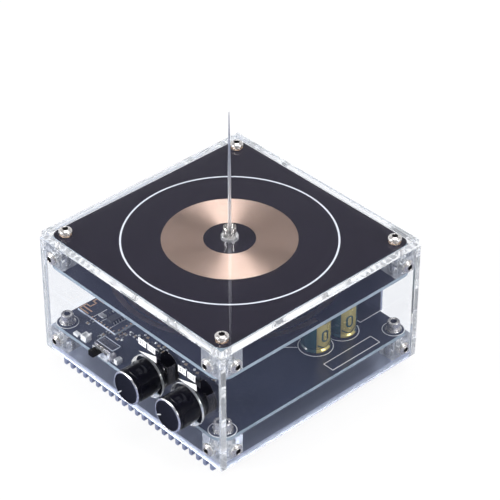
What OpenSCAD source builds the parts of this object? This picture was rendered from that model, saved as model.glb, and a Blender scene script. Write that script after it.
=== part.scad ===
// Desktop resonant transformer in a clear case: a flat printed winding under a discharge
// needle, a primary board, and a control board standing on a finned heat sink.
// Origin: middle of the footprint, on the surface that the fins stand on. +Z up.
// The knobs and the switch face -Y, the supply socket faces +Y. Millimetres.

/* [Case] */
// Outer width and depth of the square case
case_w = 110; // [100:1:130]
// Thickness of the four clear walls
wall_t = 2.6; // [2:0.1:4]
// Thickness of the clear cover plate
plate_t = 3; // [2:0.5:5]
// Step from the walls' outer faces in to the cover plate's edge
plate_inset = 0.65; // [0:0.05:1.5]
// Side of the clear corner blocks
block_w = 10; // [9:0.5:14]
// Hole in the cover plate around the needle socket
plate_hole_d = 7; // [6.5:0.1:9]

/* [Boards] */
// Thickness of the three circuit boards
board_t = 1.6; // [1:0.2:2.4]
// Gap between a board's edge and the walls
board_clear = 0.2; // [0.1:0.05:1]
// Corner radius of the boards
board_corner_r = 4.5; // [2:0.5:5]
// Free height between the control board and the primary board
bay_h = 29.3; // [26:0.1:45]
// Thickness of the printed copper
copper_t = 0.1; // [0.1:0.05:0.3]

/* [Secondary winding] */
// Inner diameter of the winding
secondary_d_in = 21.6; // [20:0.2:24]
// Width of the printed track
secondary_track = 0.3; // [0.2:0.01:0.3]
// Distance from loop to loop
secondary_pitch = 0.71; // [0.71:0.01:0.9]
// Number of loops
secondary_loops = 24; // [12:1:24]

/* [Primary winding] */
// Inner diameter of the winding
primary_d_in = 62; // [50:1:64]
// Width of the printed track
primary_track = 2.4; // [1.6:0.1:2.8]
// Distance from loop to loop
primary_pitch = 3.4; // [3.3:0.1:3.6]
// Number of loops
primary_loops = 5; // [3:1:5]

/* [Needle] */
// Length of the discharge needle
needle_l = 60; // [40:1:80]
// Diameter of the needle where it leaves the socket
needle_d = 1.5; // [1:0.1:2]
// Diameter at the tip
needle_tip_d = 0.3; // [0.2:0.05:0.5]
// Diameter of the socket
socket_d = 5.6; // [5:0.1:6]
// Height of the socket
socket_h = 7.5; // [6:0.5:12]

/* [Heat sink] */
// Thickness of the base
sink_base_t = 2; // [1.6:0.1:4]
// Height of the fins below the base
fin_h = 6.4; // [4:0.1:12]
// Thickness of a fin
fin_t = 1.8; // [1.2:0.1:2.2]
// Distance from fin to fin
fin_pitch = 4.18; // [3.6:0.01:4.4]
// Number of fins
fin_count = 23; // [15:2:23]

/* [Knobs] */
// Diameter of the knobs
knob_d = 15; // [12:0.5:17]
// Length of the knobs
knob_l = 17; // [14:0.5:20]
// Middle of each knob from the case's middle
knob_x = [10.6, 34.4];
// How far each knob stands out of the front wall
knob_out = [11, 10];
// Height of the knobs' axis above the control board
knob_rise = 8.2; // [8:0.1:10]
// Diameter of the holes in the front wall
knob_hole_d = 18.6; // [17.6:0.2:20]
// Diameter of the shafts
shaft_d = 6; // [5:0.5:6]
// Angle of each pointer at rest, anticlockwise from straight up as seen from the front
pointer_at = [135, 117];

/* [Controls behind the front wall] */
// Width of a potentiometer
pot_w = 9.6; // [9:0.1:11]
// Height of a potentiometer above the board
pot_h = 11.5; // [11.5:0.1:13]
// Depth of a potentiometer's black case
pot_d = 7; // [6:0.5:9]
// Depth of its metal frame
pot_frame_d = 4; // [3:0.5:5]
// Gap between the rear of the knobs and the bushes behind them
knob_gap = 0.4; // [0.3:0.1:1]
// Sheet thickness of the metal frames and of the switch's shell
sheet_t = 0.5; // [0.3:0.1:0.6]
// Middle of the slide switch from the case's middle
switch_x = -18.9; // [-22:0.1:-16]
// Width, depth and height of the switch's shell
switch_size = [10.4, 4.8, 5.5];
// Width and height of the lever
lever_size = [3, 2.7];
// How far the lever stands out of the front wall
lever_out = 3; // [1:0.1:5]
// Travel of the lever
lever_travel = 5; // [3:0.1:5]

/* [Supply socket] */
// Middle of the socket from the case's middle
jack_x = 30; // [20:0.5:32]
// Width, depth and height of the socket's body
jack_size = [9, 14, 11];
// Diameter of the plug's opening
jack_bore_d = 6.3; // [5.7:0.1:6.6]
// Depth of the plug's opening
jack_bore_l = 9.5; // [8:0.5:10]
// Diameter of the centre pin
jack_pin_d = 2; // [1.6:0.1:2.6]

/* [Capacitors] */
// Diameter of the two filter capacitors
cap_d = 12.6; // [10:0.1:13]
// Height of the filter capacitors
cap_h = 25; // [16:0.5:26]
// Middle of the filter capacitors from the right wall's inner face
cap_side = 19.1; // [17:0.1:24]
// Gap between the supply socket and the capacitor next to it
cap_gap = 3.7; // [2:0.1:6]
// Distance between the two filter capacitors, along Y
cap_pitch = 15; // [14:0.5:18]
// Width, depth and height of the film capacitors
film_size = [18, 7.5, 13.5];

/* [Wireless module] */
// Width, depth and thickness of the module's board
module_size = [24.4, 16, 1];
// Left and front edges of the module, from the control board's left and front edges
module_inset = [1.2, 13.2];

/* [Screws] */
// Thread diameter of all case screws
screw_d = 3; // [2.5:0.5:3]
// Head diameter of the low-head screws
button_d = 5.7; // [5:0.1:6.2]
// Head height of the low-head screws
button_h = 1.65; // [1.2:0.05:2.2]
// Head diameter of the socket-cap screws
cap_head_d = 5.5; // [5:0.1:6]
// Length under the head of the wall screws
wall_screw_l = 6; // [5:0.5:6]
// Length under the head of the cover screws
cover_screw_l = 8; // [7:0.5:8]
// Length under the head of the screws below the primary board
primary_screw_l = 5; // [4:0.5:5]
// Length under the head of the control board's socket-cap screws
board_screw_l = 14; // [14:0.5:14.5]
// Outer diameter of the flat washers
washer_d = 7; // [6.5:0.1:8]
// Thickness of the flat washers
washer_t = 0.5; // [0.4:0.1:1]

/* [Fits] */
// Gap all round a screw in its clearance hole
hole_clear = 0.2; // [0.1:0.05:0.3]
// Gap all round a thread in its tapped hole
thread_clear = 0.05; // [0.03:0.01:0.1]
// Gap all round a shaft in its bearing
running_clear = 0.06; // [0.03:0.01:0.09]
// Gap between a knob's bore and its shaft
knob_clear = 0.04; // [0.02:0.01:0.08]
// Gap around a piece that passes through a cut-out
pass_clear = 0.3; // [0.2:0.05:0.5]

/* [Hidden] */
$fn = 64;
eps = 0.01;
through = 1;

// Levels, from the surface up
base_z = fin_h;
low_block_z = base_z + sink_base_t;
control_z = low_block_z + block_w;
control_top = control_z + board_t;
primary_z = control_top + bay_h;
primary_top = primary_z + board_t;
high_block_z = primary_top;
coil_z = high_block_z + block_w;
coil_top = coil_z + board_t;
plate_z = coil_top + copper_t;
plate_top = plate_z + plate_t;
wall_h = plate_z - base_z;

// Plan
inner_w = case_w - 2 * wall_t;
board_w = inner_w - 2 * board_clear;
corner = inner_w / 2 - block_w / 2;
front_y = -case_w / 2;
front_in_y = -inner_w / 2;
low_fix_z = low_block_z + block_w / 2;
high_fix_z = high_block_z + block_w / 2;

// Screws
shank_d = screw_d - 2 * thread_clear;
free_d = screw_d + 2 * hole_clear;
tap_over = 0.4;
cap_head_h = screw_d;
hex_low = 2;
hex_cap = 2.5;
spring_washer_t = 0.8;
spring_washer_d = 5.9;
spring_gap = 1;

// Socket of the needle
needle_in = 5;
needle_base_z = coil_top + socket_h - needle_in;
needle_straight = 0.55;
needle_waist = 0.86;
crown_h = 2.6;
crown_d = 3.8;
crown_slot = 0.9;

// Knobs, shafts and potentiometers
bush_d = 6.4;
bush_l = 1.2;
bearing_l = 4.6;
pot_y = max(knob_rear_y(0), knob_rear_y(1)) + knob_gap + bush_l;
knob_z = control_top + knob_rise;
shaft_in_knob = 11;
knob_bore_over = 1;
flat_depth = 1.4;
knob_chamfer = 0.45;
knob_face_sink = 0.35;
knob_rim = 0.75;
groove_at = 1.9;
groove_w = 0.5;
pointer_w = 0.7;
pointer_l = 3;
pointer_depth = 0.3;

// Slide switch
shell_y = front_in_y + board_clear;
shell_in = switch_size[0] - 2 * sheet_t;
lever_z = control_top + switch_size[2] / 2;
switch_base_h = 0.7;
foot_w = shell_in - lever_travel - pass_clear;
foot_h = lever_size[1] + 0.5;
foot_d = switch_size[1] - 2 * sheet_t - pass_clear;
lever_rest = -lever_travel / 2;

// Loose electronics, by the boards' edges
fet_pitch = 30;
fet_tab = [10, 16, 1.3];
fet_body = [10, 9.2, 4.4];
fet_pad_t = 0.3;
fet_y = 6;
fet_hole_y = 2.8;
lead_w = 0.8;
lead_l = 3;
lead_step = 2.54;
crimp = 0.5;
crimp_z = 1.75;
cap_at = [inner_w / 2 - cap_side, case_w / 2 - jack_size[1] - cap_gap - cap_d / 2 - cap_pitch];
film_inset = [32.2, 30.2];
film_at = [film_inset[0] - board_w / 2, board_w / 2 - film_inset[1]];
film_step = 12;
chip_size = [5, 10, 1.6];
chip_inset = [[18.2, 46.2], [44.2, 58.2], [64.2, 22.2]];
chip_at = [for (c = chip_inset) [c[0] - board_w / 2, board_w / 2 - c[1]]];
module_chip = [4.4, 9.6, 1.5];
module_chip_at = [17, 8];
connector_at = [[-37.6, 1.9, 3, 2, 1.2], [-32.6, 2.6, 3.4, 3.2, 2.8], [-11.8, 2.4, 2, 3, 2.4]];
link_d = 1.6;
link_inset = [26.2, 12.2];
link_step = 12;
link_at = [for (k = [0, 1]) [link_inset[0] + k * link_step - board_w / 2, board_w / 2 - link_inset[1]]];
earth_inset = [14.2, 18.2];
earth_at = [earth_inset[0] - board_w / 2, board_w / 2 - earth_inset[1]];

// Printed pads under the cover screws
pad_d = 6.2;

// Points round one loop of a winding, and round its track
rings = 24;
track_sides = 6;

// ---- Shapes that repeat ----

// Puts a shape at the middle of each corner block
module corners() {
    for (x = [-corner, corner], y = [-corner, corner]) translate([x, y, 0]) children();
}

// Board with round corners, centred, standing on z = 0
module board_blank() {
    flat = board_w - 2 * board_corner_r;
    translate([-flat / 2, -board_w / 2, 0]) cube([flat, board_w, board_t]);
    translate([-board_w / 2, -flat / 2, 0]) cube([board_w, flat, board_t]);
    for (x = [-flat / 2, flat / 2], y = [-flat / 2, flat / 2])
        translate([x, y, 0]) cylinder(d = 2 * board_corner_r, h = board_t);
}

// Four corner holes through a board or plate of thickness t on z = 0
module corner_holes(d, t) {
    corners() translate([0, 0, -through]) cylinder(d = d, h = t + 2 * through);
}

// Low-head screw: its head stands on z = 0 and its shank goes down
module low_screw(l) {
    dome_r = (button_d * button_d / 4 + button_h * button_h) / (2 * button_h);
    difference() {
        intersection() {
            translate([0, 0, button_h - dome_r]) sphere(r = dome_r);
            cylinder(d = button_d, h = button_h);
        }
        translate([0, 0, button_h / 2]) cylinder(d = hex_low / cos(30), h = button_h, $fn = 6);
    }
    translate([0, 0, -l]) cylinder(d = shank_d, h = l + eps);
}

// Socket-cap screw: its head stands on z = 0
module cap_screw(l) {
    difference() {
        cylinder(d = cap_head_d, h = cap_head_h);
        translate([0, 0, cap_head_h / 2]) cylinder(d = hex_cap / cos(30), h = cap_head_h, $fn = 6);
    }
    translate([0, 0, -l]) cylinder(d = shank_d, h = l + eps);
}

// Puts a shape, whose z axis points outwards, at the four screw places of the -Y wall
module wall_places() {
    for (x = [-corner, corner], z = [low_fix_z, high_fix_z])
        translate([x, front_y, z]) rotate([90, 0, 0]) children();
}

// The same on all four walls
module all_wall_places() {
    for (turn = [0:90:270]) rotate([0, 0, turn]) wall_places() children();
}

// Box centred on x, from its front y and lowest z
module box_from(x, y, z, size) {
    translate([x - size[0] / 2, y, z]) cube(size);
}

// Flat spiral of printed copper, as rings of six points
function spiral_ring(i, r, pitch, w, t) =
    let (a = 360 * i / rings, c = r + pitch * i / rings)
    [for (p = [[w / 2, 0], [w / 4, t / 2], [-w / 4, t / 2], [-w / 2, 0], [-w / 4, -t / 2], [w / 4, -t / 2]])
        [(c + p[0]) * cos(a), (c + p[0]) * sin(a), t / 2 + p[1]]];

function ring_gap(a, b) = min([for (p = a, q = b) norm(p - q)]);

function spiral_gap(loops, r, pitch, w, t) =
    min([for (i = [0:loops * rings - rings - 1], k = [rings - 1, rings, rings + 1]) if (i + k <= loops * rings)
        ring_gap(spiral_ring(i, r, pitch, w, t), spiral_ring(i + k, r, pitch, w, t))]);

module spiral(loops, r, pitch, w, t) {
    n = loops * rings;
    points = [for (i = [0:n]) each spiral_ring(i, r, pitch, w, t)];
    last = track_sides * n;
    side = [for (i = [0:n - 1], k = [0:track_sides - 1])
        let (a = track_sides * i + k, b = track_sides * i + (k + 1) % track_sides)
        each [[a, b, a + track_sides], [b, b + track_sides, a + track_sides]]];
    start = [for (k = [1:track_sides - 2]) [0, k + 1, k]];
    end = [for (k = [1:track_sides - 2]) [last, last + k, last + k + 1]];
    echo(least_gap_between_loops = spiral_gap(loops, r, pitch, w, t));
    polyhedron(points = points, faces = concat(side, start, end));
}

// Round bar with a flat along it, on z = 0, for a shaft and for the bore it goes in
module d_bar(d, l, flat) {
    difference() {
        cylinder(d = d, h = l);
        translate([-d, d / 2 - flat, -through]) cube([2 * d, d, l + 2 * through]);
    }
}

// ---- Heat sink and lower frame ----

module fin() {
    r = fin_t / 3;
    translate([-fin_t / 2, -inner_w / 2, r]) cube([fin_t, inner_w, fin_h - r + eps]);
    translate([-fin_t / 2 + r, -inner_w / 2, 0]) cube([fin_t - 2 * r, inner_w, fin_h]);
    for (x = [-fin_t / 2 + r, fin_t / 2 - r])
        translate([x, inner_w / 2, r]) rotate([90, 0, 0]) cylinder(r = r, h = inner_w);
}

module heat_sink() {
    color("silver") difference() {
        union() {
            translate([-inner_w / 2, -inner_w / 2, base_z]) cube([inner_w, inner_w, sink_base_t]);
            for (i = [0:fin_count - 1]) translate([(i - (fin_count - 1) / 2) * fin_pitch, 0, 0]) fin();
        }
        corners() translate([0, 0, base_z - 0.2]) cylinder(d = screw_d, h = sink_base_t + through);
        for (x = [-fet_pitch / 2, fet_pitch / 2])
            translate([x, fet_y + fet_hole_y, base_z - 0.2]) cylinder(d = screw_d, h = sink_base_t + through);
    }
}

// Four clear blocks that the walls are screwed to
module blocks(z, hole) {
    difference() {
        corners() translate([-block_w / 2, -block_w / 2, z]) cube(block_w);
        corners() translate([0, 0, z - through]) cylinder(d = hole, h = block_w + 2 * through);
        all_wall_places() translate([0, 0, -wall_screw_l - tap_over])
            cylinder(d = screw_d, h = wall_screw_l + tap_over - wall_t + eps);
    }
}

module lower_blocks() { color([0.85, 0.9, 0.95, 0.4]) blocks(low_block_z, free_d); }

module upper_blocks() { color([0.85, 0.9, 0.95, 0.4]) blocks(high_block_z, screw_d); }

// ---- Control board and what stands on it ----

module control_board() {
    color("#23242e") translate([0, 0, control_z]) difference() {
        board_blank();
        corner_holes(free_d, board_t);
    }
}

module washer(z, d, t) {
    translate([0, 0, z]) difference() {
        cylinder(d = d, h = t);
        translate([0, 0, -through]) cylinder(d = free_d, h = t + 2 * through);
    }
}

module board_washers() { color("silver") corners() washer(control_top, washer_d, washer_t); }

module spring_washers() {
    color("gray") corners() difference() {
        washer(control_top + washer_t, spring_washer_d, spring_washer_t);
        translate([0, -spring_gap / 2, control_top + washer_t - through])
            cube([spring_washer_d, spring_gap, spring_washer_t + 2 * through]);
    }
}

module board_screws() {
    color("lightgray") corners()
        translate([0, 0, control_top + washer_t + spring_washer_t]) cap_screw(board_screw_l);
}

module fet_places() {
    for (x = [-fet_pitch / 2, fet_pitch / 2]) translate([x, fet_y, low_block_z]) children();
}

module fet_pad_blank(t) {
    translate([-fet_tab[0] / 2, -fet_tab[1] + fet_tab[1] / 3, 0]) cube([fet_tab[0], fet_tab[1], t]);
}

module thermal_pads() {
    color("gainsboro") fet_places() difference() {
        fet_pad_blank(fet_pad_t);
        translate([0, fet_hole_y, -through]) cylinder(d = free_d, h = 3 * through);
    }
}

// Two flat transistors on the base, their leads going up to the control board
module power_transistors() {
    body_y = -fet_tab[1] * 2 / 3;
    rise = control_z - low_block_z - fet_pad_t;
    color("#1c1c1f") fet_places() translate([0, 0, fet_pad_t]) {
        difference() {
            union() {
                fet_pad_blank(fet_tab[2]);
                translate([-fet_body[0] / 2, body_y, 0]) cube(fet_body);
            }
            translate([0, fet_hole_y, -through]) cylinder(d = free_d, h = fet_body[2] + 2 * through);
        }
        for (k = [-1:1]) translate([k * lead_step - lead_w / 2, body_y - lead_l, fet_body[2] / 2]) {
            cube([lead_w, lead_l + eps, lead_w]);
            cube([lead_w, lead_w, rise - fet_body[2] / 2]);
        }
    }
}

module transistor_screws() {
    color("silver") fet_places() translate([0, fet_hole_y, fet_pad_t + fet_tab[2]])
        low_screw(fet_pad_t + fet_tab[2] + sink_base_t - thread_clear);
}

module filter_capacitors() {
    sleeve_r = cap_d / 2;
    color("#1e4b55") for (k = [0, 1]) translate([cap_at[0], cap_at[1] + k * cap_pitch, control_top])
        rotate_extrude() polygon([[0, 0], [sleeve_r - crimp, 0], [sleeve_r, crimp],
            [sleeve_r, crimp_z - crimp], [sleeve_r - crimp, crimp_z], [sleeve_r, crimp_z + crimp],
            [sleeve_r, cap_h - crimp], [sleeve_r - crimp, cap_h], [0, cap_h]]);
}

module film_capacitors() {
    color("firebrick") for (k = [0, 1])
        box_from(film_at[0], film_at[1] - k * film_step, control_top, film_size);
}

module supply_socket() {
    size = jack_size;
    color("#17171a") difference() {
        box_from(jack_x, case_w / 2 - size[1], control_top, size);
        translate([jack_x, case_w / 2 + eps, control_top + size[2] / 2]) rotate([90, 0, 0])
            cylinder(d = jack_bore_d, h = jack_bore_l + eps);
    }
}

module supply_pin() {
    recess = 0.6;
    color("silver") translate([jack_x, case_w / 2 - recess, control_top + jack_size[2] / 2])
        rotate([90, 0, 0]) cylinder(d = jack_pin_d, h = jack_bore_l - recess);
}

module control_chips() {
    color("#1a1a1c") for (at = chip_at) box_from(at[0], at[1], control_top, chip_size);
}

module edge_connectors() {
    color("white") for (c = connector_at)
        box_from(c[0], front_in_y + board_clear + c[1] - c[3] / 2, control_top, [c[2], c[3], c[4]]);
}

module wireless_board() {
    color("#15161c")
        translate([-board_w / 2 + module_inset[0], -board_w / 2 + module_inset[1], control_top])
        cube(module_size);
}

module wireless_chip() {
    color("#101012") translate([-board_w / 2 + module_inset[0] + module_chip_at[0] - module_chip[0] / 2,
        -board_w / 2 + module_inset[1] + module_chip_at[1] - module_chip[1] / 2,
        control_top + module_size[2]]) cube(module_chip);
}

// ---- Knobs and potentiometers ----

// Metal frame: a front plate with a bearing bush, and two cheeks
module pot_frame() {
    inside = pot_w - 2 * sheet_t;
    difference() {
        union() {
            difference() {
                box_from(0, 0, control_top, [pot_w, pot_frame_d, pot_h]);
                box_from(0, sheet_t, control_top - through, [inside, pot_frame_d, pot_h + 2 * through]);
            }
            translate([0, eps, knob_z]) rotate([90, 0, 0]) cylinder(d = bush_d, h = bush_l + eps);
        }
        translate([0, sheet_t + through, knob_z]) rotate([90, 0, 0])
            cylinder(d = shaft_d + 2 * running_clear, h = bush_l + sheet_t + 2 * through);
    }
}

module pot_case() {
    slack = 0.05;
    difference() {
        box_from(0, sheet_t, control_top, [pot_w - 2 * sheet_t - 2 * slack, pot_d - sheet_t, pot_h]);
        translate([0, sheet_t + bearing_l, knob_z]) rotate([90, 0, 0])
            cylinder(d = shaft_d + 2 * running_clear, h = bearing_l + eps);
    }
}

module pot_frames() { color("darkgray") for (x = knob_x) translate([x, pot_y, 0]) pot_frame(); }

module pot_cases() { color("#19191c") for (x = knob_x) translate([x, pot_y, 0]) pot_case(); }

function knob_rear_y(i) = front_y - knob_out[i] + knob_l;

// Puts a shape whose z axis points to the front at the rear face of knob i, turned to its pointer
module knob_place(i) {
    translate([knob_x[i], knob_rear_y(i), knob_z])
        rotate([90, 0, 0]) rotate([0, 0, pointer_at[i]]) children();
}

// The shaft goes from its bearing in the potentiometer into the knob
module shaft(i) {
    rear = pot_y + sheet_t + bearing_l - running_clear - knob_rear_y(i);
    color("lightgray") knob_place(i) {
        translate([0, 0, -rear]) cylinder(d = shaft_d, h = rear + eps);
        d_bar(shaft_d, shaft_in_knob, flat_depth);
    }
}

// Turned knob with a sunk face, a groove near the front and a pointer line
module knob(i) {
    r = knob_d / 2;
    groove_z = knob_l - groove_at;
    color("#1b1b20") knob_place(i) difference() {
        rotate_extrude($fn = 96) polygon([[0, 0], [r - knob_chamfer, 0], [r, knob_chamfer],
            [r, groove_z - groove_w], [r - groove_w / 2, groove_z - groove_w / 2], [r, groove_z],
            [r, knob_l - knob_chamfer], [r - knob_chamfer, knob_l], [r - knob_rim, knob_l],
            [r - knob_rim - knob_face_sink, knob_l - knob_face_sink], [0, knob_l - knob_face_sink]]);
        translate([0, 0, -eps])
            d_bar(shaft_d + 2 * knob_clear, shaft_in_knob + knob_bore_over, flat_depth);
        translate([-pointer_w / 2, r - pointer_l, knob_l - knob_face_sink - pointer_depth])
            cube([pointer_w, pointer_l + through, knob_face_sink + pointer_depth + through]);
    }
}

module left_shaft() { shaft(0); }

module left_knob() { knob(0); }

module right_shaft() { shaft(1); }

module right_knob() { knob(1); }

// ---- Slide switch ----

module switch_shell() {
    size = switch_size;
    slot_h = lever_size[1] + 2 * pass_clear;
    slot_w = lever_size[0] + lever_travel + 2 * pass_clear;
    color("darkgray") difference() {
        box_from(switch_x, shell_y, control_top, size);
        box_from(switch_x, shell_y + sheet_t, control_top - eps,
            [shell_in, size[1] - 2 * sheet_t, size[2] - sheet_t + eps]);
        box_from(switch_x, shell_y - through, lever_z - slot_h / 2, [slot_w, sheet_t + 2 * through, slot_h]);
    }
}

module switch_base() {
    slack = 0.05;
    color("#202024") box_from(switch_x, shell_y + sheet_t + slack, control_top,
        [shell_in - 2 * slack, switch_size[1] - 2 * sheet_t - 2 * slack, switch_base_h]);
}

// Lever with the foot that slides inside the shell
module switch_lever() {
    reach = shell_y + sheet_t - front_y + lever_out + pass_clear;
    color("black") {
        box_from(switch_x + lever_rest, front_y - lever_out, lever_z - lever_size[1] / 2,
            [lever_size[0], reach, lever_size[1]]);
        box_from(switch_x + lever_rest, shell_y + sheet_t + pass_clear / 2, lever_z - foot_h / 2,
            [foot_w, foot_d, foot_h]);
    }
}

// ---- Primary board and wires between the boards ----

// Two wires feed the primary, and one goes on through it to the coil board
module link_wires() {
    color("sienna") {
        for (at = link_at) translate([at[0], at[1], control_top]) cylinder(d = link_d, h = bay_h);
        translate([earth_at[0], earth_at[1], control_top]) cylinder(d = link_d, h = coil_z - control_top);
    }
}

module primary_board() {
    color("#1e1f29") translate([0, 0, primary_z]) difference() {
        board_blank();
        corner_holes(free_d, board_t);
        translate([earth_at[0], earth_at[1], -through])
            cylinder(d = link_d + 2 * hole_clear, h = board_t + 2 * through);
    }
}

module primary_winding() {
    color("peru") translate([0, 0, primary_top])
        spiral(primary_loops, primary_d_in / 2 + primary_track / 2, primary_pitch, primary_track, 2 * copper_t);
}

module primary_screws() {
    color("silver") corners() translate([0, 0, primary_z]) mirror([0, 0, 1]) low_screw(primary_screw_l);
}

// ---- Coil board, its windings and the needle ----

module coil_board() {
    color("#1e1f29") translate([0, 0, coil_z]) difference() {
        board_blank();
        corner_holes(free_d, board_t);
    }
}

module coil_pads() { color("gold") corners() washer(coil_top, pad_d, copper_t); }

module secondary_winding() {
    color("darksalmon") translate([0, 0, coil_top])
        spiral(secondary_loops, secondary_d_in / 2 + secondary_track / 2, secondary_pitch,
            secondary_track, copper_t);
}

// Socket with a slotted crown
module needle_socket() {
    chamfer = 0.3;
    r = socket_d / 2;
    color("silver") translate([0, 0, coil_top]) difference() {
        rotate_extrude() polygon([[0, 0], [r, 0], [r, socket_h - chamfer], [r - chamfer, socket_h], [0, socket_h]]);
        translate([0, 0, socket_h - crown_h]) cylinder(d = crown_d, h = crown_h + through);
        translate([0, 0, socket_h - needle_in]) cylinder(d = needle_d + 2 * thread_clear, h = needle_in);
        for (turn = [45, 135]) rotate([0, 0, turn])
            translate([-socket_d, -crown_slot / 2, socket_h - crown_h]) cube([2 * socket_d, crown_slot, crown_h + through]);
    }
}

// Long needle that thins slowly, then draws to its tip
module needle() {
    straight = needle_l * needle_straight;
    waist_d = needle_d * needle_waist;
    color("lightsteelblue") translate([0, 0, needle_base_z]) {
        cylinder(d1 = needle_d, d2 = waist_d, h = straight);
        translate([0, 0, straight]) cylinder(d1 = waist_d, d2 = needle_tip_d, h = needle_l - straight);
    }
}

// ---- Walls and cover ----

module wall_blank(w) { translate([-w / 2, front_y, base_z]) cube([w, wall_t, wall_h]); }

module wall_holes() {
    wall_places() translate([0, 0, -wall_t - through]) cylinder(d = free_d, h = wall_t + 2 * through);
}

module front_wall() {
    slot = [lever_size[0] + lever_travel + 4 * pass_clear, wall_t + 2 * through, lever_size[1] + 4 * pass_clear];
    color([0.85, 0.9, 0.95, 0.3]) difference() {
        wall_blank(case_w);
        wall_holes();
        for (x = knob_x) translate([x, front_in_y + through, knob_z]) rotate([90, 0, 0])
            cylinder(d = knob_hole_d, h = wall_t + 2 * through);
        box_from(switch_x, front_y - through, lever_z - slot[2] / 2, slot);
    }
}

module back_wall() {
    cut = [jack_size[0] + 2 * pass_clear, wall_t + 2 * through, jack_size[2] + 2 * pass_clear];
    color([0.85, 0.9, 0.95, 0.3]) difference() {
        rotate([0, 0, 180]) difference() {
            wall_blank(case_w);
            wall_holes();
        }
        box_from(jack_x, inner_w / 2 - through, control_top - pass_clear, cut);
    }
}

module side_wall() {
    difference() {
        wall_blank(inner_w);
        wall_holes();
    }
}

module left_wall() { color([0.85, 0.9, 0.95, 0.3]) rotate([0, 0, -90]) side_wall(); }

module right_wall() { color([0.85, 0.9, 0.95, 0.3]) rotate([0, 0, 90]) side_wall(); }

module cover_plate() {
    w = case_w - 2 * plate_inset;
    color([0.85, 0.9, 0.95, 0.3]) translate([0, 0, plate_z]) difference() {
        translate([-w / 2, -w / 2, 0]) cube([w, w, plate_t]);
        corner_holes(free_d, plate_t);
        translate([0, 0, -through]) cylinder(d = plate_hole_d, h = plate_t + 2 * through);
    }
}

module cover_screws() { color("silver") corners() translate([0, 0, plate_top]) low_screw(cover_screw_l); }

module wall_screws() { color("silver") all_wall_places() low_screw(wall_screw_l); }

// ---- What is drawn ----

heat_sink();
lower_blocks();
control_board();
board_washers();
spring_washers();
board_screws();
thermal_pads();
power_transistors();
transistor_screws();
filter_capacitors();
film_capacitors();
supply_socket();
supply_pin();
control_chips();
edge_connectors();
wireless_board();
wireless_chip();
pot_frames();
pot_cases();
left_shaft();
left_knob();
right_shaft();
right_knob();
switch_shell();
switch_base();
switch_lever();
link_wires();
primary_board();
primary_winding();
primary_screws();
upper_blocks();
coil_board();
coil_pads();
secondary_winding();
needle_socket();
needle();
front_wall();
back_wall();
left_wall();
right_wall();
cover_plate();
cover_screws();
wall_screws();
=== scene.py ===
"""Looks of a desktop resonant transformer in a clear case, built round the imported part."""

import logging
import math
from collections.abc import Iterable, Sequence
from dataclasses import dataclass
from enum import Enum

import bmesh
import bpy
from mathutils import Matrix, Vector


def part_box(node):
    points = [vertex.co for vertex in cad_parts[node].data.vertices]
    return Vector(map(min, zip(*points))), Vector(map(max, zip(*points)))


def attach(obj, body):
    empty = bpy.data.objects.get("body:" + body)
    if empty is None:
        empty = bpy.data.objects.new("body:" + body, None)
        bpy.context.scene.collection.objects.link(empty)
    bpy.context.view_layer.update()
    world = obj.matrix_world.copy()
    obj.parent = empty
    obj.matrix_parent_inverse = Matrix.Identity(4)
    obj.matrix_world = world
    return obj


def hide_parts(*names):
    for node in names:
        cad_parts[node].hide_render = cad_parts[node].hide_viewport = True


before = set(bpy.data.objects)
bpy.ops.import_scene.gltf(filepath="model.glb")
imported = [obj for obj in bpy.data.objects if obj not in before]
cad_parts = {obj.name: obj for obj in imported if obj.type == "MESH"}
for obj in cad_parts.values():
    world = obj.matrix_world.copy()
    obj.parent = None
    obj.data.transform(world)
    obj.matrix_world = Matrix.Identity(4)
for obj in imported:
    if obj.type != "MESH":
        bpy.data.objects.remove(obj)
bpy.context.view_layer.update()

LOG = logging.getLogger("transformer")
MM = 0.001
# Thickness of a print, and its height above the board, in millimetres
INK_T = 0.03
INK_LIFT = 0.002
# Angle in degrees from which an edge counts as sharp
SHARP_FROM = 30.0
DUST = (0.6, 0.6, 0.62)
Point = tuple[float, float, float]
Colour = tuple[float, float, float]


# ---- Placing ----


class Facing(Enum):
    """The way the top of a turned shape points, as a turn in degrees about an axis."""

    DOWN = (180.0, "X")
    FRONT = (90.0, "X")
    BACK = (-90.0, "X")
    RIGHT = (90.0, "Y")
    LEFT = (-90.0, "Y")

    def turn(self) -> Matrix:
        """Returns the turn as a matrix."""
        angle, axis = self.value
        return Matrix.Rotation(math.radians(angle), 4, axis)


def at(x: float = 0.0, y: float = 0.0, z: float = 0.0) -> Matrix:
    """Returns a shift in millimetres."""
    return Matrix.Translation((x, y, z))


def about_z(angle: float) -> Matrix:
    """Returns a turn about the vertical, in degrees."""
    return Matrix.Rotation(math.radians(angle), 4, "Z")


# ---- Shapes ----


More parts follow.
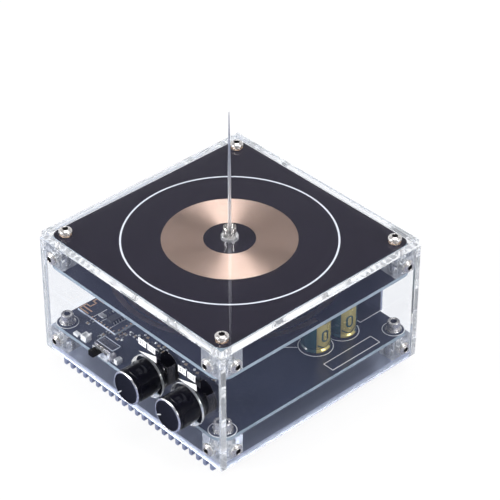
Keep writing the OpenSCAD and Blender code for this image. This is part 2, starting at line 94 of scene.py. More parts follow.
class Blank:
    """A closed shape in millimetres that bmesh operators work on before it joins a piece."""

    def __init__(self) -> None:
        """Starts with nothing in it."""
        self.bm = bmesh.new()

    @classmethod
    def box(cls, low: Sequence[float], high: Sequence[float], soft: float = 0.0, segments: int = 2) -> "Blank":
        """Makes a block with softened edges.

        Args:
            low: Its lowest corner.
            high: Its highest corner.
            soft: Width of the rounding along its edges.
            segments: Steps of the rounding.

        Returns:
            The block.
        """
        made = cls()
        lo, hi = Vector(low), Vector(high)
        size = hi - lo
        bmesh.ops.create_cube(made.bm, size=1.0,
                              matrix=Matrix.Translation((lo + hi) / 2) @ Matrix.Diagonal((*size, 1.0)))
        if soft > 0.0:
            made.soften(soft, segments)
        return made

    @classmethod
    def spun(cls, points: Iterable[tuple[float, float]], steps: int, closed: bool) -> "Blank":
        """Spins a line about the Z axis.

        Args:
            points: Points as radius and height.
            steps: Faces round the axis.
            closed: True where the last point joins the first.

        Returns:
            The spun shape, with its faces outwards.
        """
        made = cls()
        verts = [made.bm.verts.new((r, 0.0, z)) for r, z in points]
        ends = verts[1:] + verts[:1] if closed else verts[1:]
        edges = [made.bm.edges.new(pair) for pair in zip(verts, ends)]
        bmesh.ops.spin(made.bm, geom=verts + edges, cent=(0, 0, 0), axis=(0, 0, 1), dvec=(0, 0, 0),
                       angle=math.tau, steps=steps, use_merge=True)
        return made.cleaned()

    @classmethod
    def turned(cls, profile: Iterable[tuple[float, float]], steps: int = 48) -> "Blank":
        """Turns a closed shape from a profile that runs from one end of the axis to the other."""
        return cls.spun(profile, steps, closed=False)

    @classmethod
    def ring(cls, inner: float, outer: float, height: float, steps: int = 64, soft: float = 0.0) -> "Blank":
        """Makes a flat ring on z = 0.

        Args:
            inner: Inner radius.
            outer: Outer radius.
            height: Thickness.
            steps: Faces round it.
            soft: Chamfer on its two outer edges.

        Returns:
            The ring.
        """
        outline = [(inner, 0.0), (outer - soft, 0.0), (outer, soft), (outer, height - soft),
                   (outer - soft, height), (inner, height)]
        return cls.spun(dict.fromkeys(outline), steps, closed=True)

    @classmethod
    def prism(cls, outline: Iterable[tuple[float, float]], height: float) -> "Blank":
        """Raises a flat outline in X and Y from z = 0 to a height."""
        made = cls()
        made.bm.faces.new([made.bm.verts.new((x, y, 0.0)) for x, y in outline])
        made.raised(height)
        return made

    @classmethod
    def sheet(cls, width: float, height: float, thickness: float, rounds: Sequence[tuple[float, float, float]] = (),
              slots: Sequence[tuple[float, float, float, float]] = (), corner: float = 0.0,
              soft: float = 0.12) -> "Blank":
        """Cuts a flat sheet, centred, on z = 0. Its faces get finish 0 and its cut edges finish 1.

        Args:
            width: Size along X.
            height: Size along Y.
            thickness: Size along Z.
            rounds: Round holes as x, y and diameter.
            slots: Square holes as middle x, middle y, width and height.
            corner: Radius of the four corners.
            soft: Width of the softened edges.

        Returns:
            The sheet.
        """
        made = cls()
        bm = made.bm
        outline = bmesh.ops.create_grid(bm, x_segments=1, y_segments=1, size=0.5,
                                        matrix=Matrix.Diagonal((width, height, 1.0, 1.0)))
        if corner > 0.0:
            bmesh.ops.bevel(bm, geom=outline["verts"], offset=corner, offset_type="OFFSET", affect="VERTICES",
                            segments=10, profile=0.5, material=-1)
        for x, y, w, h in slots:
            bmesh.ops.create_grid(bm, x_segments=1, y_segments=1, size=0.5,
                                  matrix=at(x, y) @ Matrix.Diagonal((w, h, 1.0, 1.0)))
        bmesh.ops.delete(bm, geom=bm.faces[:], context="FACES_ONLY")
        for x, y, d in rounds:
            bmesh.ops.create_circle(bm, cap_ends=False, radius=d / 2, segments=72 if d > 8 else 40, matrix=at(x, y))
        bmesh.ops.triangle_fill(bm, use_beauty=True, use_dissolve=False, edges=bm.edges[:], normal=(0, 0, 1))
        made.raised(thickness)
        if soft > 0.0:
            made.soften(soft)
        bm.normal_update()
        for face in bm.faces:
            face.material_index = 0 if abs(face.normal.z) > 0.99 else 1
        return made

    def raised(self, height: float) -> None:
        """Extrudes all its faces upwards and turns the result's faces outwards."""
        moved = bmesh.ops.extrude_face_region(self.bm, geom=self.bm.faces[:])["geom"]
        bmesh.ops.translate(self.bm, vec=(0, 0, height), verts=[v for v in moved if isinstance(v, bmesh.types.BMVert)])
        bmesh.ops.recalc_face_normals(self.bm, faces=self.bm.faces[:])

    def soften(self, width: float, segments: int = 2) -> "Blank":
        """Rounds every sharp edge to a width in some steps, and returns the same shape."""
        limit = math.radians(SHARP_FROM)
        edges = [e for e in self.bm.edges if len(e.link_faces) == 2 and e.calc_face_angle(0.0) > limit]
        bmesh.ops.bevel(self.bm, geom=edges, offset=width, offset_type="OFFSET", affect="EDGES", segments=segments,
                        profile=0.5, material=-1, clamp_overlap=True)
        return self

    def cleaned(self) -> "Blank":
        """Merges doubles, closes poles and turns faces outwards."""
        bmesh.ops.remove_doubles(self.bm, verts=self.bm.verts[:], dist=1e-5)
        bmesh.ops.dissolve_degenerate(self.bm, dist=1e-6, edges=self.bm.edges[:])
        bmesh.ops.recalc_face_normals(self.bm, faces=self.bm.faces[:])
        return self

    def painted(self, finish: int) -> "Blank":
        """Gives all its faces one finish number."""
        for face in self.bm.faces:
            face.material_index = finish
        return self

    def copy(self) -> "Blank":
        """Returns the same shape again."""
        made = Blank()
        made.bm.free()
        made.bm = self.bm.copy()
        return made

    def moved(self, place: Matrix) -> "Blank":
        """Returns a copy of it at another place."""
        made = self.copy()
        bmesh.ops.transform(made.bm, matrix=place, verts=made.bm.verts[:])
        return made

    def joined(self, *others: "Blank") -> "Blank":
        """Takes other shapes in."""
        for other in others:
            mesh = bpy.data.meshes.new("blank")
            other.bm.to_mesh(mesh)
            self.bm.from_mesh(mesh)
            bpy.data.meshes.remove(mesh)
        return self

    def as_object(self) -> bpy.types.Object:
        """Returns a passing object of this shape, for a boolean cut."""
        mesh = bpy.data.meshes.new("blank")
        self.bm.to_mesh(mesh)
        made = bpy.data.objects.new("blank", mesh)
        bpy.context.scene.collection.objects.link(made)
        return made

    def carved(self, *cutters: "Blank") -> "Blank":
        """Cuts other shapes out of it.

        Args:
            cutters: The shapes that are taken away.

        Returns:
            A new shape, what is left.
        """
        target = self.as_object()
        tools = [cutter.as_object() for cutter in cutters]
        for tool in tools:
            cut = target.modifiers.new("cut", "BOOLEAN")
            cut.operation, cut.solver, cut.object = "DIFFERENCE", "EXACT", tool
        bpy.context.view_layer.update()
        mesh = bpy.data.meshes.new_from_object(target.evaluated_get(bpy.context.evaluated_depsgraph_get()))
        made = Blank()
        made.bm.from_mesh(mesh)
        bpy.data.meshes.remove(mesh)
        for spent in (target, *tools):
            data = spent.data
            bpy.data.objects.remove(spent)
            bpy.data.meshes.remove(data)
        return made


class Piece:
    """One named object of the scene, gathered from shapes and given its finishes."""

    def __init__(self, name: str, slot: str, finishes: Sequence["Finish"], body: str = "root",
                 replaces: Sequence[str] = (), sharp: float = 50.0, weighted: bool = True) -> None:
        """Starts a piece.

        Args:
            name: Its name in the scene.
            slot: The record's material slot; it is kept on the piece but not used.
            finishes: Its finishes, by number.
            body: The CAD body it rides on.
            replaces: CAD nodes it stands for.
            sharp: Angle in degrees from which an edge is drawn sharp.
            weighted: True where its flat faces keep their shading flat beside rounded edges.
        """
        self.name, self.slot, self.finishes, self.body = name, slot, finishes, body
        self.nodes, self.sharp, self.weighted, self.bm = replaces, sharp, weighted, bmesh.new()

    def add(self, blank: Blank, *places: Matrix, finish: int | None = None) -> "Piece":
        """Puts a shape in at one or more places.

        Args:
            blank: The shape.
            places: Where, one copy each; none means where it is.
            finish: A finish number for the whole shape, if not its own.

        Returns:
            The piece.
        """
        mesh = bpy.data.meshes.new("part")
        blank.bm.to_mesh(mesh)
        if finish is not None:
            mesh.polygons.foreach_set("material_index", [finish] * len(mesh.polygons))
        for place in places or (Matrix.Identity(4),):
            copy = mesh.copy()
            copy.transform(place)
            self.bm.from_mesh(copy)
            bpy.data.meshes.remove(copy)
        bpy.data.meshes.remove(mesh)
        return self

    def done(self) -> bpy.types.Object:
        """Turns the gathered shapes into the finished object, in metres, on its body."""
        bmesh.ops.scale(self.bm, vec=(MM, MM, MM), verts=self.bm.verts[:])
        mesh = bpy.data.meshes.new(self.name)
        self.bm.to_mesh(mesh)
        self.bm.free()
        mesh.shade_smooth()
        mesh.set_sharp_from_angle(angle=math.radians(self.sharp))
        made = bpy.data.objects.new(self.name, mesh)
        if self.weighted:
            level = made.modifiers.new("flat shading", "WEIGHTED_NORMAL")
            level.mode, level.weight, level.keep_sharp = "FACE_AREA", 100, True
        return self.settle(made)

    def settle(self, made: bpy.types.Object) -> bpy.types.Object:
        """Gives an object its finishes, its body and the nodes it stands for."""
        bpy.context.scene.collection.objects.link(made)
        for finish in self.finishes:
            made.data.materials.append(finish.material())
        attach(made, self.body)
        if self.nodes:
            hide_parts(*self.nodes)
        LOG.info("%s: %d faces", self.name, len(made.data.polygons))
        return made


def dress(node: str, finish: "Finish", soft: float = 0.0, segments: int = 2) -> None:
    """Gives a CAD node that stays its finish, and softens its edges.

    Args:
        node: Name of the node.
        finish: Its finish.
        soft: Width of the rounding along its edges in millimetres, none at 0.
        segments: Steps of the rounding.
    """
    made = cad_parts[node]
    made.data.materials.clear()
    made.data.materials.append(finish.material())
    made.data.polygons.foreach_set("material_index", [0] * len(made.data.polygons))
    if soft > 0.0:
        weld = made.modifiers.new("weld", "WELD")
        weld.merge_threshold = 0.002 * MM
        bevel = made.modifiers.new("soft edges", "BEVEL")
        bevel.width, bevel.segments, bevel.limit_method = soft * MM, segments, "ANGLE"
        bevel.angle_limit, bevel.harden_normals = math.radians(35), False
    LOG.info("%s: kept, %s", node, finish.name)


# ---- Finishes ----


class Wiring:
    """Adds nodes to one tree and joins them."""

    def __init__(self, tree: bpy.types.NodeTree) -> None:
        """Takes the tree to work on."""
        self.tree = tree

    def node(self, kind: str, settings: dict | None = None, **inputs: object) -> bpy.types.Node:
        """Adds a node.

        Args:
            kind: Its type.
            settings: Its own properties.
            inputs: Values or sockets for its inputs, spaces written as underscores.

        Returns:
            The node.
        """
        made = self.tree.nodes.new(kind)
        for key, value in (settings or {}).items():
            setattr(made, key, value)
        for key, value in inputs.items():
            self.feed(made.inputs[key.replace("_", " ")], value)
        return made

    def feed(self, socket: bpy.types.NodeSocket, value: object) -> None:
        """Sets an input to a value or joins it to a socket."""
        if isinstance(value, bpy.types.NodeSocket):
            self.tree.links.new(value, socket)
        elif isinstance(value, tuple) and len(value) == 3 and socket.type == "RGBA":
            socket.default_value = (*value, 1.0)
        else:
            socket.default_value = value

    def sum(self, operation: str, *values: object) -> bpy.types.NodeSocket:
        """Adds a Math node and returns its output."""
        made = self.tree.nodes.new("ShaderNodeMath")
        made.operation = operation
        for socket, value in zip(made.inputs, values):
            self.feed(socket, value)
        return made.outputs[0]

    def blend(self, factor: object, first: object, second: object) -> bpy.types.NodeSocket:
        """Mixes two colours and returns the result."""
        made = self.tree.nodes.new("ShaderNodeMix")
        made.data_type = "RGBA"
        for index, value in ((0, factor), (6, first), (7, second)):
            self.feed(made.inputs[index], value)
        return made.outputs[2]

    def ramp(self, value: object, low: object, high: object, from_low: float = 0.0,
             from_high: float = 1.0) -> bpy.types.NodeSocket:
        """Maps a value from one range to another, held at its ends."""
        made = self.node("ShaderNodeMapRange", {"clamp": True}, Value=value, From_Min=from_low, From_Max=from_high,
                         To_Min=low, To_Max=high)
        return made.outputs[0]


def group_of(name: str, inputs: Sequence[tuple[str, str, object]], outputs: Sequence[tuple[str, str]]
             ) -> tuple[bpy.types.NodeTree, Wiring, bpy.types.Node, bpy.types.Node]:
    """Starts a shared node group.

    Args:
        name: Its name.
        inputs: Name, socket type and value of each input.
        outputs: Name and socket type of each output.

    Returns:
        The group, its wiring, its input node and its output node.
    """
    tree = bpy.data.node_groups.new(name, "ShaderNodeTree")
    for label, kind, value in inputs:
        tree.interface.new_socket(label, in_out="INPUT", socket_type=kind).default_value = value
    for label, kind in outputs:
        tree.interface.new_socket(label, in_out="OUTPUT", socket_type=kind)
    wiring = Wiring(tree)
    return tree, wiring, tree.nodes.new("NodeGroupInput"), tree.nodes.new("NodeGroupOutput")


class Effects:
    """The shared effects, each a node group that is built once."""

    made: dict[str, bpy.types.NodeTree] = {}

    @classmethod
    def grain(cls) -> bpy.types.NodeTree:
        """Returns fine grain: a mask and a level between Low and High, stretched along an axis."""
        if "grain" not in cls.made:
            tree, w, start, end = group_of(
                "grain", [("Scale", "NodeSocketFloat", 900.0), ("Stretch", "NodeSocketVector", (1.0, 1.0, 1.0)),
                          ("Low", "NodeSocketFloat", 0.2), ("High", "NodeSocketFloat", 0.4)],
                [("Mask", "NodeSocketFloat"), ("Level", "NodeSocketFloat")])
            place = w.node("ShaderNodeTexCoord").outputs["Object"]
            drawn = w.node("ShaderNodeVectorMath", {"operation": "MULTIPLY"})
            w.feed(drawn.inputs[0], place)
            w.feed(drawn.inputs[1], start.outputs["Stretch"])
            noise = w.node("ShaderNodeTexNoise", Vector=drawn.outputs[0], Scale=start.outputs["Scale"],
                           Detail=4.0, Roughness=0.6)
            mask = w.ramp(noise.outputs[0], 0.0, 1.0, 0.32, 0.68)
            w.feed(end.inputs["Mask"], mask)
            w.feed(end.inputs["Level"], w.ramp(mask, start.outputs["Low"], start.outputs["High"]))
            cls.made["grain"] = tree
        return cls.made["grain"]

    @classmethod
    def weave(cls) -> bpy.types.NodeTree:
        """Returns the glass-cloth weave that shows through a board's lacquer, as a height."""
        if "weave" not in cls.made:
            tree, w, start, end = group_of("weave", [("Scale", "NodeSocketFloat", 420.0)],
                                           [("Height", "NodeSocketFloat")])
            place = w.node("ShaderNodeTexCoord").outputs["Object"]
            bands = [w.node("ShaderNodeTexWave", {"bands_direction": axis}, Vector=place,
                            Scale=start.outputs["Scale"], Distortion=0.6, Detail=1.0).outputs[1]
                     for axis in ("X", "Y")]
            w.feed(end.inputs["Height"], w.sum("MULTIPLY", *bands))
            cls.made["weave"] = tree
        return cls.made["weave"]

    @classmethod
    def specks(cls) -> bpy.types.NodeTree:
        """Returns sparse fine dust as a mask."""
        if "specks" not in cls.made:
            tree, w, start, end = group_of("specks", [("Scale", "NodeSocketFloat", 260.0),
                                                      ("Size", "NodeSocketFloat", 0.05)],
                                           [("Mask", "NodeSocketFloat")])
            place = w.node("ShaderNodeTexCoord").outputs["Object"]
            cells = w.node("ShaderNodeTexVoronoi", Vector=place, Scale=start.outputs["Scale"])
            w.feed(end.inputs["Mask"], w.sum("LESS_THAN", cells.outputs["Distance"], start.outputs["Size"]))
            cls.made["specks"] = tree
        return cls.made["specks"]


@dataclass(frozen=True)
class Finish:
    """What a surface is made of. Each builds its material once."""

    name: str

    def material(self) -> bpy.types.Material:
        """Returns its material, built on first use."""
        found = bpy.data.materials.get(self.name)
        if found is None:
            found = bpy.data.materials.new(self.name)
            found.use_nodes = True
            found.node_tree.nodes.clear()
            self.wire(Wiring(found.node_tree))
        return found

    def wire(self, w: Wiring) -> None:
        """Builds the material's nodes."""
        raise NotImplementedError

    @staticmethod
    def use(w: Wiring, tree: bpy.types.NodeTree, **inputs: object) -> bpy.types.Node:
        """Places a shared effect in a material."""
        return w.node("ShaderNodeGroup", {"node_tree": tree}, **inputs)


@dataclass(frozen=True)
class Solid(Finish):
    """An opaque finish: plastic, lacquer, ink or metal, with its own grain."""

    tone: Colour
    tone_b: Colour
    metallic: float = 0.0
    rough: tuple[float, float] = (0.3, 0.45)
    scale: float = 900.0
    stretch: Point = (1.0, 1.0, 1.0)
    bump: float = 0.12
    depth: float = 0.002
    coat: float = 0.0
    specular: float = 0.5
    weave: float = 0.0
    dust: float = 0.0

    def wire(self, w: Wiring) -> None:
        """Builds base tone, roughness and bump from the shared grain, with dust and weave where asked."""
        grain = self.use(w, Effects.grain(), Scale=self.scale, Stretch=self.stretch, Low=self.rough[0],
                         High=self.rough[1])
        cloud = self.use(w, Effects.grain(), Scale=self.scale / 9, Stretch=self.stretch, Low=0.0, High=1.0)
        colour = w.blend(cloud.outputs["Level"], self.tone, self.tone_b)
        height = grain.outputs["Mask"]
        if self.weave > 0.0:
            cloth = self.use(w, Effects.weave()).outputs["Height"]
            height = w.sum("MULTIPLY_ADD", cloth, self.weave, height)
        if self.dust > 0.0:
            specks = self.use(w, Effects.specks())
            colour = w.blend(w.sum("MULTIPLY", specks.outputs["Mask"], self.dust), colour, DUST)
        bump = w.node("ShaderNodeBump", Strength=self.bump, Distance=self.depth * MM, Height=height)
        skin = w.node("ShaderNodeBsdfPrincipled", Base_Color=colour, Metallic=self.metallic,
                      Roughness=grain.outputs["Level"], Normal=bump.outputs[0], Coat_Weight=self.coat,
                      Coat_Roughness=0.06, Specular_IOR_Level=self.specular)
        w.node("ShaderNodeOutputMaterial", Surface=skin.outputs[0])


@dataclass(frozen=True)
class Acrylic(Finish):
    """Clear cast acrylic. Light from the lamps goes through it, so what it holds is lit. `haze` is the share of dull
    white that a sawn edge has."""

    tone: Colour = (0.985, 0.992, 1.0)
    rough: tuple[float, float] = (0.0, 0.006)
    scale: float = 60.0
    stretch: Point = (1.0, 1.0, 1.0)
    haze: float = 0.0
    haze_tone: Colour = (0.9, 0.93, 0.97)
    lit_through: Colour = (0.96, 0.97, 0.98)
    index: float = 1.49

    def wire(self, w: Wiring) -> None:
        """Builds clear glass, mixed with plain see-through for shadow rays."""
        grain = self.use(w, Effects.grain(), Scale=self.scale, Stretch=self.stretch, Low=self.rough[0],
                         High=self.rough[1])
        specks = self.use(w, Effects.specks(), Scale=150.0, Size=0.02)
        rough = w.sum("MULTIPLY_ADD", specks.outputs["Mask"], 0.08, grain.outputs["Level"])
        glass = w.node("ShaderNodeBsdfPrincipled", Base_Color=self.tone, Roughness=rough, IOR=self.index)
        glass.inputs["Transmission Weight"].default_value = 1.0
        body = glass.outputs[0]
        if self.haze > 0.0:
            milk = w.node("ShaderNodeBsdfPrincipled", Base_Color=self.haze_tone, Roughness=0.5)
            body = w.node("ShaderNodeMixShader", Fac=self.haze)
            w.feed(body.inputs[1], glass.outputs[0])
            w.feed(body.inputs[2], milk.outputs[0])
            body = body.outputs[0]
        path = w.node("ShaderNodeLightPath")
        lamp = w.sum("MAXIMUM", path.outputs["Is Shadow Ray"], path.outputs["Is Diffuse Ray"])
        clear = w.node("ShaderNodeBsdfTransparent", Color=self.lit_through)
        both = w.node("ShaderNodeMixShader", Fac=lamp)
        w.feed(both.inputs[1], body)
        w.feed(both.inputs[2], clear.outputs[0])
        w.node("ShaderNodeOutputMaterial", Surface=both.outputs[0])


@dataclass(frozen=True)
class Sleeve(Finish):
    """Shrink sleeve of a capacitor: a lacquered tone with a gold stripe that carries plain marks. Reads the UV map,
    U round the can and V up it, both in millimetres."""

    tone: Colour = (0.006, 0.045, 0.052)
    tone_b: Colour = (0.009, 0.056, 0.065)
    stripe: Colour = (0.60, 0.50, 0.17)
    stripe_b: Colour = (0.50, 0.41, 0.13)
    width: float = 7.6
    pitch: float = 12.5
    margin: float = 0.4
    oval_up: float = 2.6
    oval_half: float = 1.3
    oval_r: float = 1.25
    oval_line: float = 0.42
    fold_down: float = 3.6
    fold_slope: float = 0.62
    fold_line: float = 0.32

    def wire(self, w: Wiring) -> None:
        """Builds the stripe, and in it an oval ring and a chevron that repeat up the can."""
        uv = w.node("ShaderNodeSeparateXYZ", Vector=w.node("ShaderNodeTexCoord").outputs["UV"])
        across = uv.outputs[0]
        up = w.sum("SUBTRACT", w.sum("MULTIPLY", w.sum("FRACT", w.sum("DIVIDE", uv.outputs[1], self.pitch)),
                                     self.pitch), self.pitch / 2)
        in_stripe = w.sum("LESS_THAN", w.sum("ABSOLUTE", across), self.width / 2)
        raised = w.sum("SUBTRACT", up, self.oval_up)
        lengthened = w.sum("MAXIMUM", w.sum("SUBTRACT", w.sum("ABSOLUTE", raised), self.oval_half), 0.0)
        span = w.sum("SQRT", w.sum("ADD", w.sum("MULTIPLY", across, across),
                                   w.sum("MULTIPLY", lengthened, lengthened)))
        oval = w.sum("LESS_THAN", w.sum("ABSOLUTE", w.sum("SUBTRACT", span, self.oval_r)), self.oval_line)
        fold = w.sum("MULTIPLY_ADD", w.sum("ABSOLUTE", across), -self.fold_slope, w.sum("ADD", up, self.fold_down))
        chevron = w.sum("LESS_THAN", w.sum("ABSOLUTE", fold), self.fold_line)
        narrow = w.sum("LESS_THAN", w.sum("ABSOLUTE", across), self.width / 2 - self.margin)
        marks = w.sum("MULTIPLY", narrow, w.sum("MAXIMUM", oval, chevron))
        grain = self.use(w, Effects.grain(), Scale=500.0, Low=0.16, High=0.3)
        gold = w.blend(grain.outputs["Mask"], self.stripe, self.stripe_b)
        gold = w.blend(marks, gold, self.tone)
        base = w.blend(grain.outputs["Mask"], self.tone, self.tone_b)
        colour = w.blend(in_stripe, base, gold)
        shine = w.sum("MULTIPLY", in_stripe, w.sum("SUBTRACT", 1.0, marks))
        bump = w.node("ShaderNodeBump", Strength=0.15, Distance=0.02 * MM, Height=grain.outputs["Mask"])
        skin = w.node("ShaderNodeBsdfPrincipled", Base_Color=colour, Roughness=grain.outputs["Level"],
                      Normal=bump.outputs[0], Coat_Weight=0.35, Coat_Roughness=0.08,
                      Metallic=w.sum("MULTIPLY", shine, 0.55))
        w.node("ShaderNodeOutputMaterial", Surface=skin.outputs[0])


class Shelf:
    """The finishes of this object, by what they are on."""

    clear = Acrylic("clear_acrylic")
    cut_edge = Acrylic("acrylic_cut_edge", rough=(0.04, 0.05), scale=700.0, stretch=(1.0, 1.0, 0.06), haze=0.15)
    block_face = Acrylic("acrylic_block_face", rough=(0.012, 0.018), scale=900.0, haze=0.14)
    mask = Solid("board_lacquer", (0.0105, 0.0085, 0.018), (0.0125, 0.0105, 0.021), rough=(0.21, 0.215), weave=0.4,
                 bump=0.02, depth=0.001, specular=0.3, dust=0.02)
    mask_low = Solid("control_board_lacquer", (0.019, 0.023, 0.040), (0.024, 0.028, 0.048), rough=(0.22, 0.28),
                     weave=0.5, bump=0.03, depth=0.001, specular=0.4, dust=0.04)
    fibre = Solid("board_edge", (0.17, 0.22, 0.26), (0.30, 0.36, 0.42), rough=(0.4, 0.6), scale=1600.0,
                  stretch=(1.0, 1.0, 5.0), bump=0.3)
    ink = Solid("printed_ink", (0.66, 0.68, 0.73), (0.60, 0.62, 0.67), rough=(0.4, 0.6), scale=1500.0, bump=0.2)
    # White print lighter than the coil board's ink: painted light that makes up for the shade on the control board.
    bright_ink_painted_light = Solid("bright_print_painted_light", (0.88, 0.88, 0.89), (0.82, 0.82, 0.84), rough=(0.4, 0.55), scale=1500.0, bump=0.1)
    copper = Solid("printed_copper", (0.66, 0.48, 0.40), (0.69, 0.51, 0.43), metallic=1.0, rough=(0.29, 0.31),
                   scale=1700.0, bump=0.01, depth=0.0005)
    gold = Solid("gold_plate", (0.74, 0.53, 0.38), (0.64, 0.45, 0.31), metallic=1.0, rough=(0.2, 0.35), bump=0.1)
    steel = Solid("screw_steel", (0.64, 0.62, 0.61), (0.56, 0.54, 0.53), metallic=0.75, rough=(0.24, 0.32),
                  scale=1400.0, bump=0.05)
    # Near-black finish inside the hex sockets of the screws: painted shade, darker than the steel around it.
    painted_socket_shade = Solid("screw_socket_painted_shade", (0.020, 0.018, 0.021), (0.012, 0.011, 0.013), rough=(0.45, 0.6), scale=1400.0,
                   bump=0.1, specular=0.2)
    needle = Solid("needle_steel", (0.52, 0.49, 0.49), (0.43, 0.41, 0.41), metallic=1.0, rough=(0.16, 0.3),
                   scale=1500.0, stretch=(1.0, 1.0, 0.1), bump=0.08)
    nickel = Solid("nickel_plate", (0.72, 0.71, 0.70), (0.66, 0.65, 0.64), metallic=1.0, rough=(0.2, 0.28),
                   bump=0.1)
    tin = Solid("tin_solder", (0.62, 0.63, 0.65), (0.5, 0.51, 0.53), metallic=1.0, rough=(0.25, 0.45), bump=0.3)
    sheet = Solid("zinc_sheet", (0.58, 0.56, 0.58), (0.54, 0.525, 0.54), metallic=1.0, rough=(0.2, 0.23),
                  scale=1100.0, bump=0.04, depth=0.002)
    aluminium = Solid("extruded_aluminium", (0.62, 0.66, 0.78), (0.55, 0.59, 0.70), metallic=0.85,
                      rough=(0.3, 0.42), scale=1600.0, stretch=(1.0, 0.02, 1.0), bump=0.15, depth=0.01)
    can = Solid("capacitor_can", (0.66, 0.67, 0.69), (0.58, 0.59, 0.61), metallic=1.0, rough=(0.25, 0.4), bump=0.1)
    knob = Solid("gloss_knob", (0.003, 0.003, 0.006), (0.004, 0.004, 0.007), rough=(0.11, 0.13), scale=1300.0,
                 bump=0.02, specular=0.15, dust=0.02)
    knob_ring = Solid("knob_bright_edge", (0.86, 0.86, 0.89), (0.80, 0.80, 0.84), metallic=0.9, rough=(0.2, 0.3),
                      scale=2000.0, bump=0.05)
    lever = Solid("lever_plastic", (0.005, 0.005, 0.007), (0.008, 0.008, 0.010), rough=(0.35, 0.5), scale=1800.0,
                  bump=0.2, specular=0.2)
    moulded = Solid("moulded_black", (0.006, 0.006, 0.010), (0.008, 0.008, 0.012), rough=(0.2, 0.23),
                    scale=1500.0, bump=0.04, specular=0.35, dust=0.02)
    epoxy = Solid("chip_epoxy", (0.013, 0.013, 0.016), (0.022, 0.022, 0.026), rough=(0.38, 0.6), scale=2200.0,
                  bump=0.35)
    pale = Solid("white_plastic", (0.80, 0.80, 0.78), (0.72, 0.72, 0.70), rough=(0.3, 0.5), scale=1200.0, bump=0.1)
    film = Solid("film_capacitor_coat", (0.26, 0.035, 0.02), (0.19, 0.022, 0.014), rough=(0.2, 0.32), bump=0.12,
                 coat=0.3)
    silicone = Solid("thermal_pad", (0.45, 0.47, 0.50), (0.36, 0.38, 0.41), rough=(0.6, 0.8), scale=900.0,
                     weave=1.2, bump=0.5, depth=0.04)
    wire = Solid("wire_insulation", (0.34, 0.020, 0.012), (0.26, 0.014, 0.010), rough=(0.3, 0.42), bump=0.12)
    module_edge = Solid("module_edge", (0.66, 0.71, 0.80), (0.56, 0.61, 0.70), rough=(0.3, 0.5), scale=1600.0,
                        bump=0.2)
    ceramic = Solid("part_ceramic", (0.32, 0.24, 0.16), (0.24, 0.18, 0.12), rough=(0.4, 0.55), bump=0.2)
    brown = Solid("antenna_copper", (0.70, 0.44, 0.27), (0.62, 0.38, 0.22), metallic=0.4, rough=(0.3, 0.42),
                  bump=0.1)
    sleeve = Sleeve("capacitor_sleeve")


# ---- Sizes that the classes share ----


@dataclass(frozen=True)
class Sizes:
    """The case's own measures in millimetres, as the part has them."""

    case: float = 110.0
    wall: float = 2.6
    inner: float = 104.8
    board: float = 104.4
    board_t: float = 1.6
    corner: float = 47.4
    block: float = 10.0
    base: float = 6.4
    low_block: float = 8.4
    control: float = 18.4
    control_top: float = 20.0
    primary: float = 49.3
    primary_top: float = 50.9
    coil: float = 60.9
    coil_top: float = 62.5
    plate: float = 62.6
    plate_top: float = 65.6
    plate_inset: float = 0.65
    screw_hole: float = 3.4
    air: float = 0.02
    knob_x: tuple[float, float] = (10.6, 34.4)
    knob_z: float = 28.2
    switch_x: float = -18.9
    socket_x: float = 30.0

    def corners(self) -> list[tuple[float, float]]:
        """Returns the middles of the four corner blocks."""
        c = self.corner
        return [(-c, -c), (c, -c), (-c, c), (c, c)]

    def levels(self) -> tuple[float, float]:
        """Returns the heights of the lower and the upper wall screws."""
        return self.low_block + self.block / 2, self.primary_top + self.block / 2


SIZE = Sizes()


def circuit_board(name: str, node: str, lacquer: Solid, level: float, extra: Sequence[Point] = ()) -> None:
    """Cuts one square circuit board with its four corner holes.

    Args:
        name: Name of the piece.
        node: The CAD node it stands for.
        lacquer: Finish of its faces.
        level: Height of its lower face.
        extra: More round holes as x, y and diameter.
    """
    holes = [(x, y, SIZE.screw_hole) for x, y in SIZE.corners()]
    board = Blank.sheet(SIZE.board, SIZE.board, SIZE.board_t, [*holes, *extra], corner=4.5, soft=0.06)
    Piece(name, "board", [lacquer, Shelf.fibre], replaces=[node]).add(board, at(z=level)).done()


# ---- Sub-assemblies ----


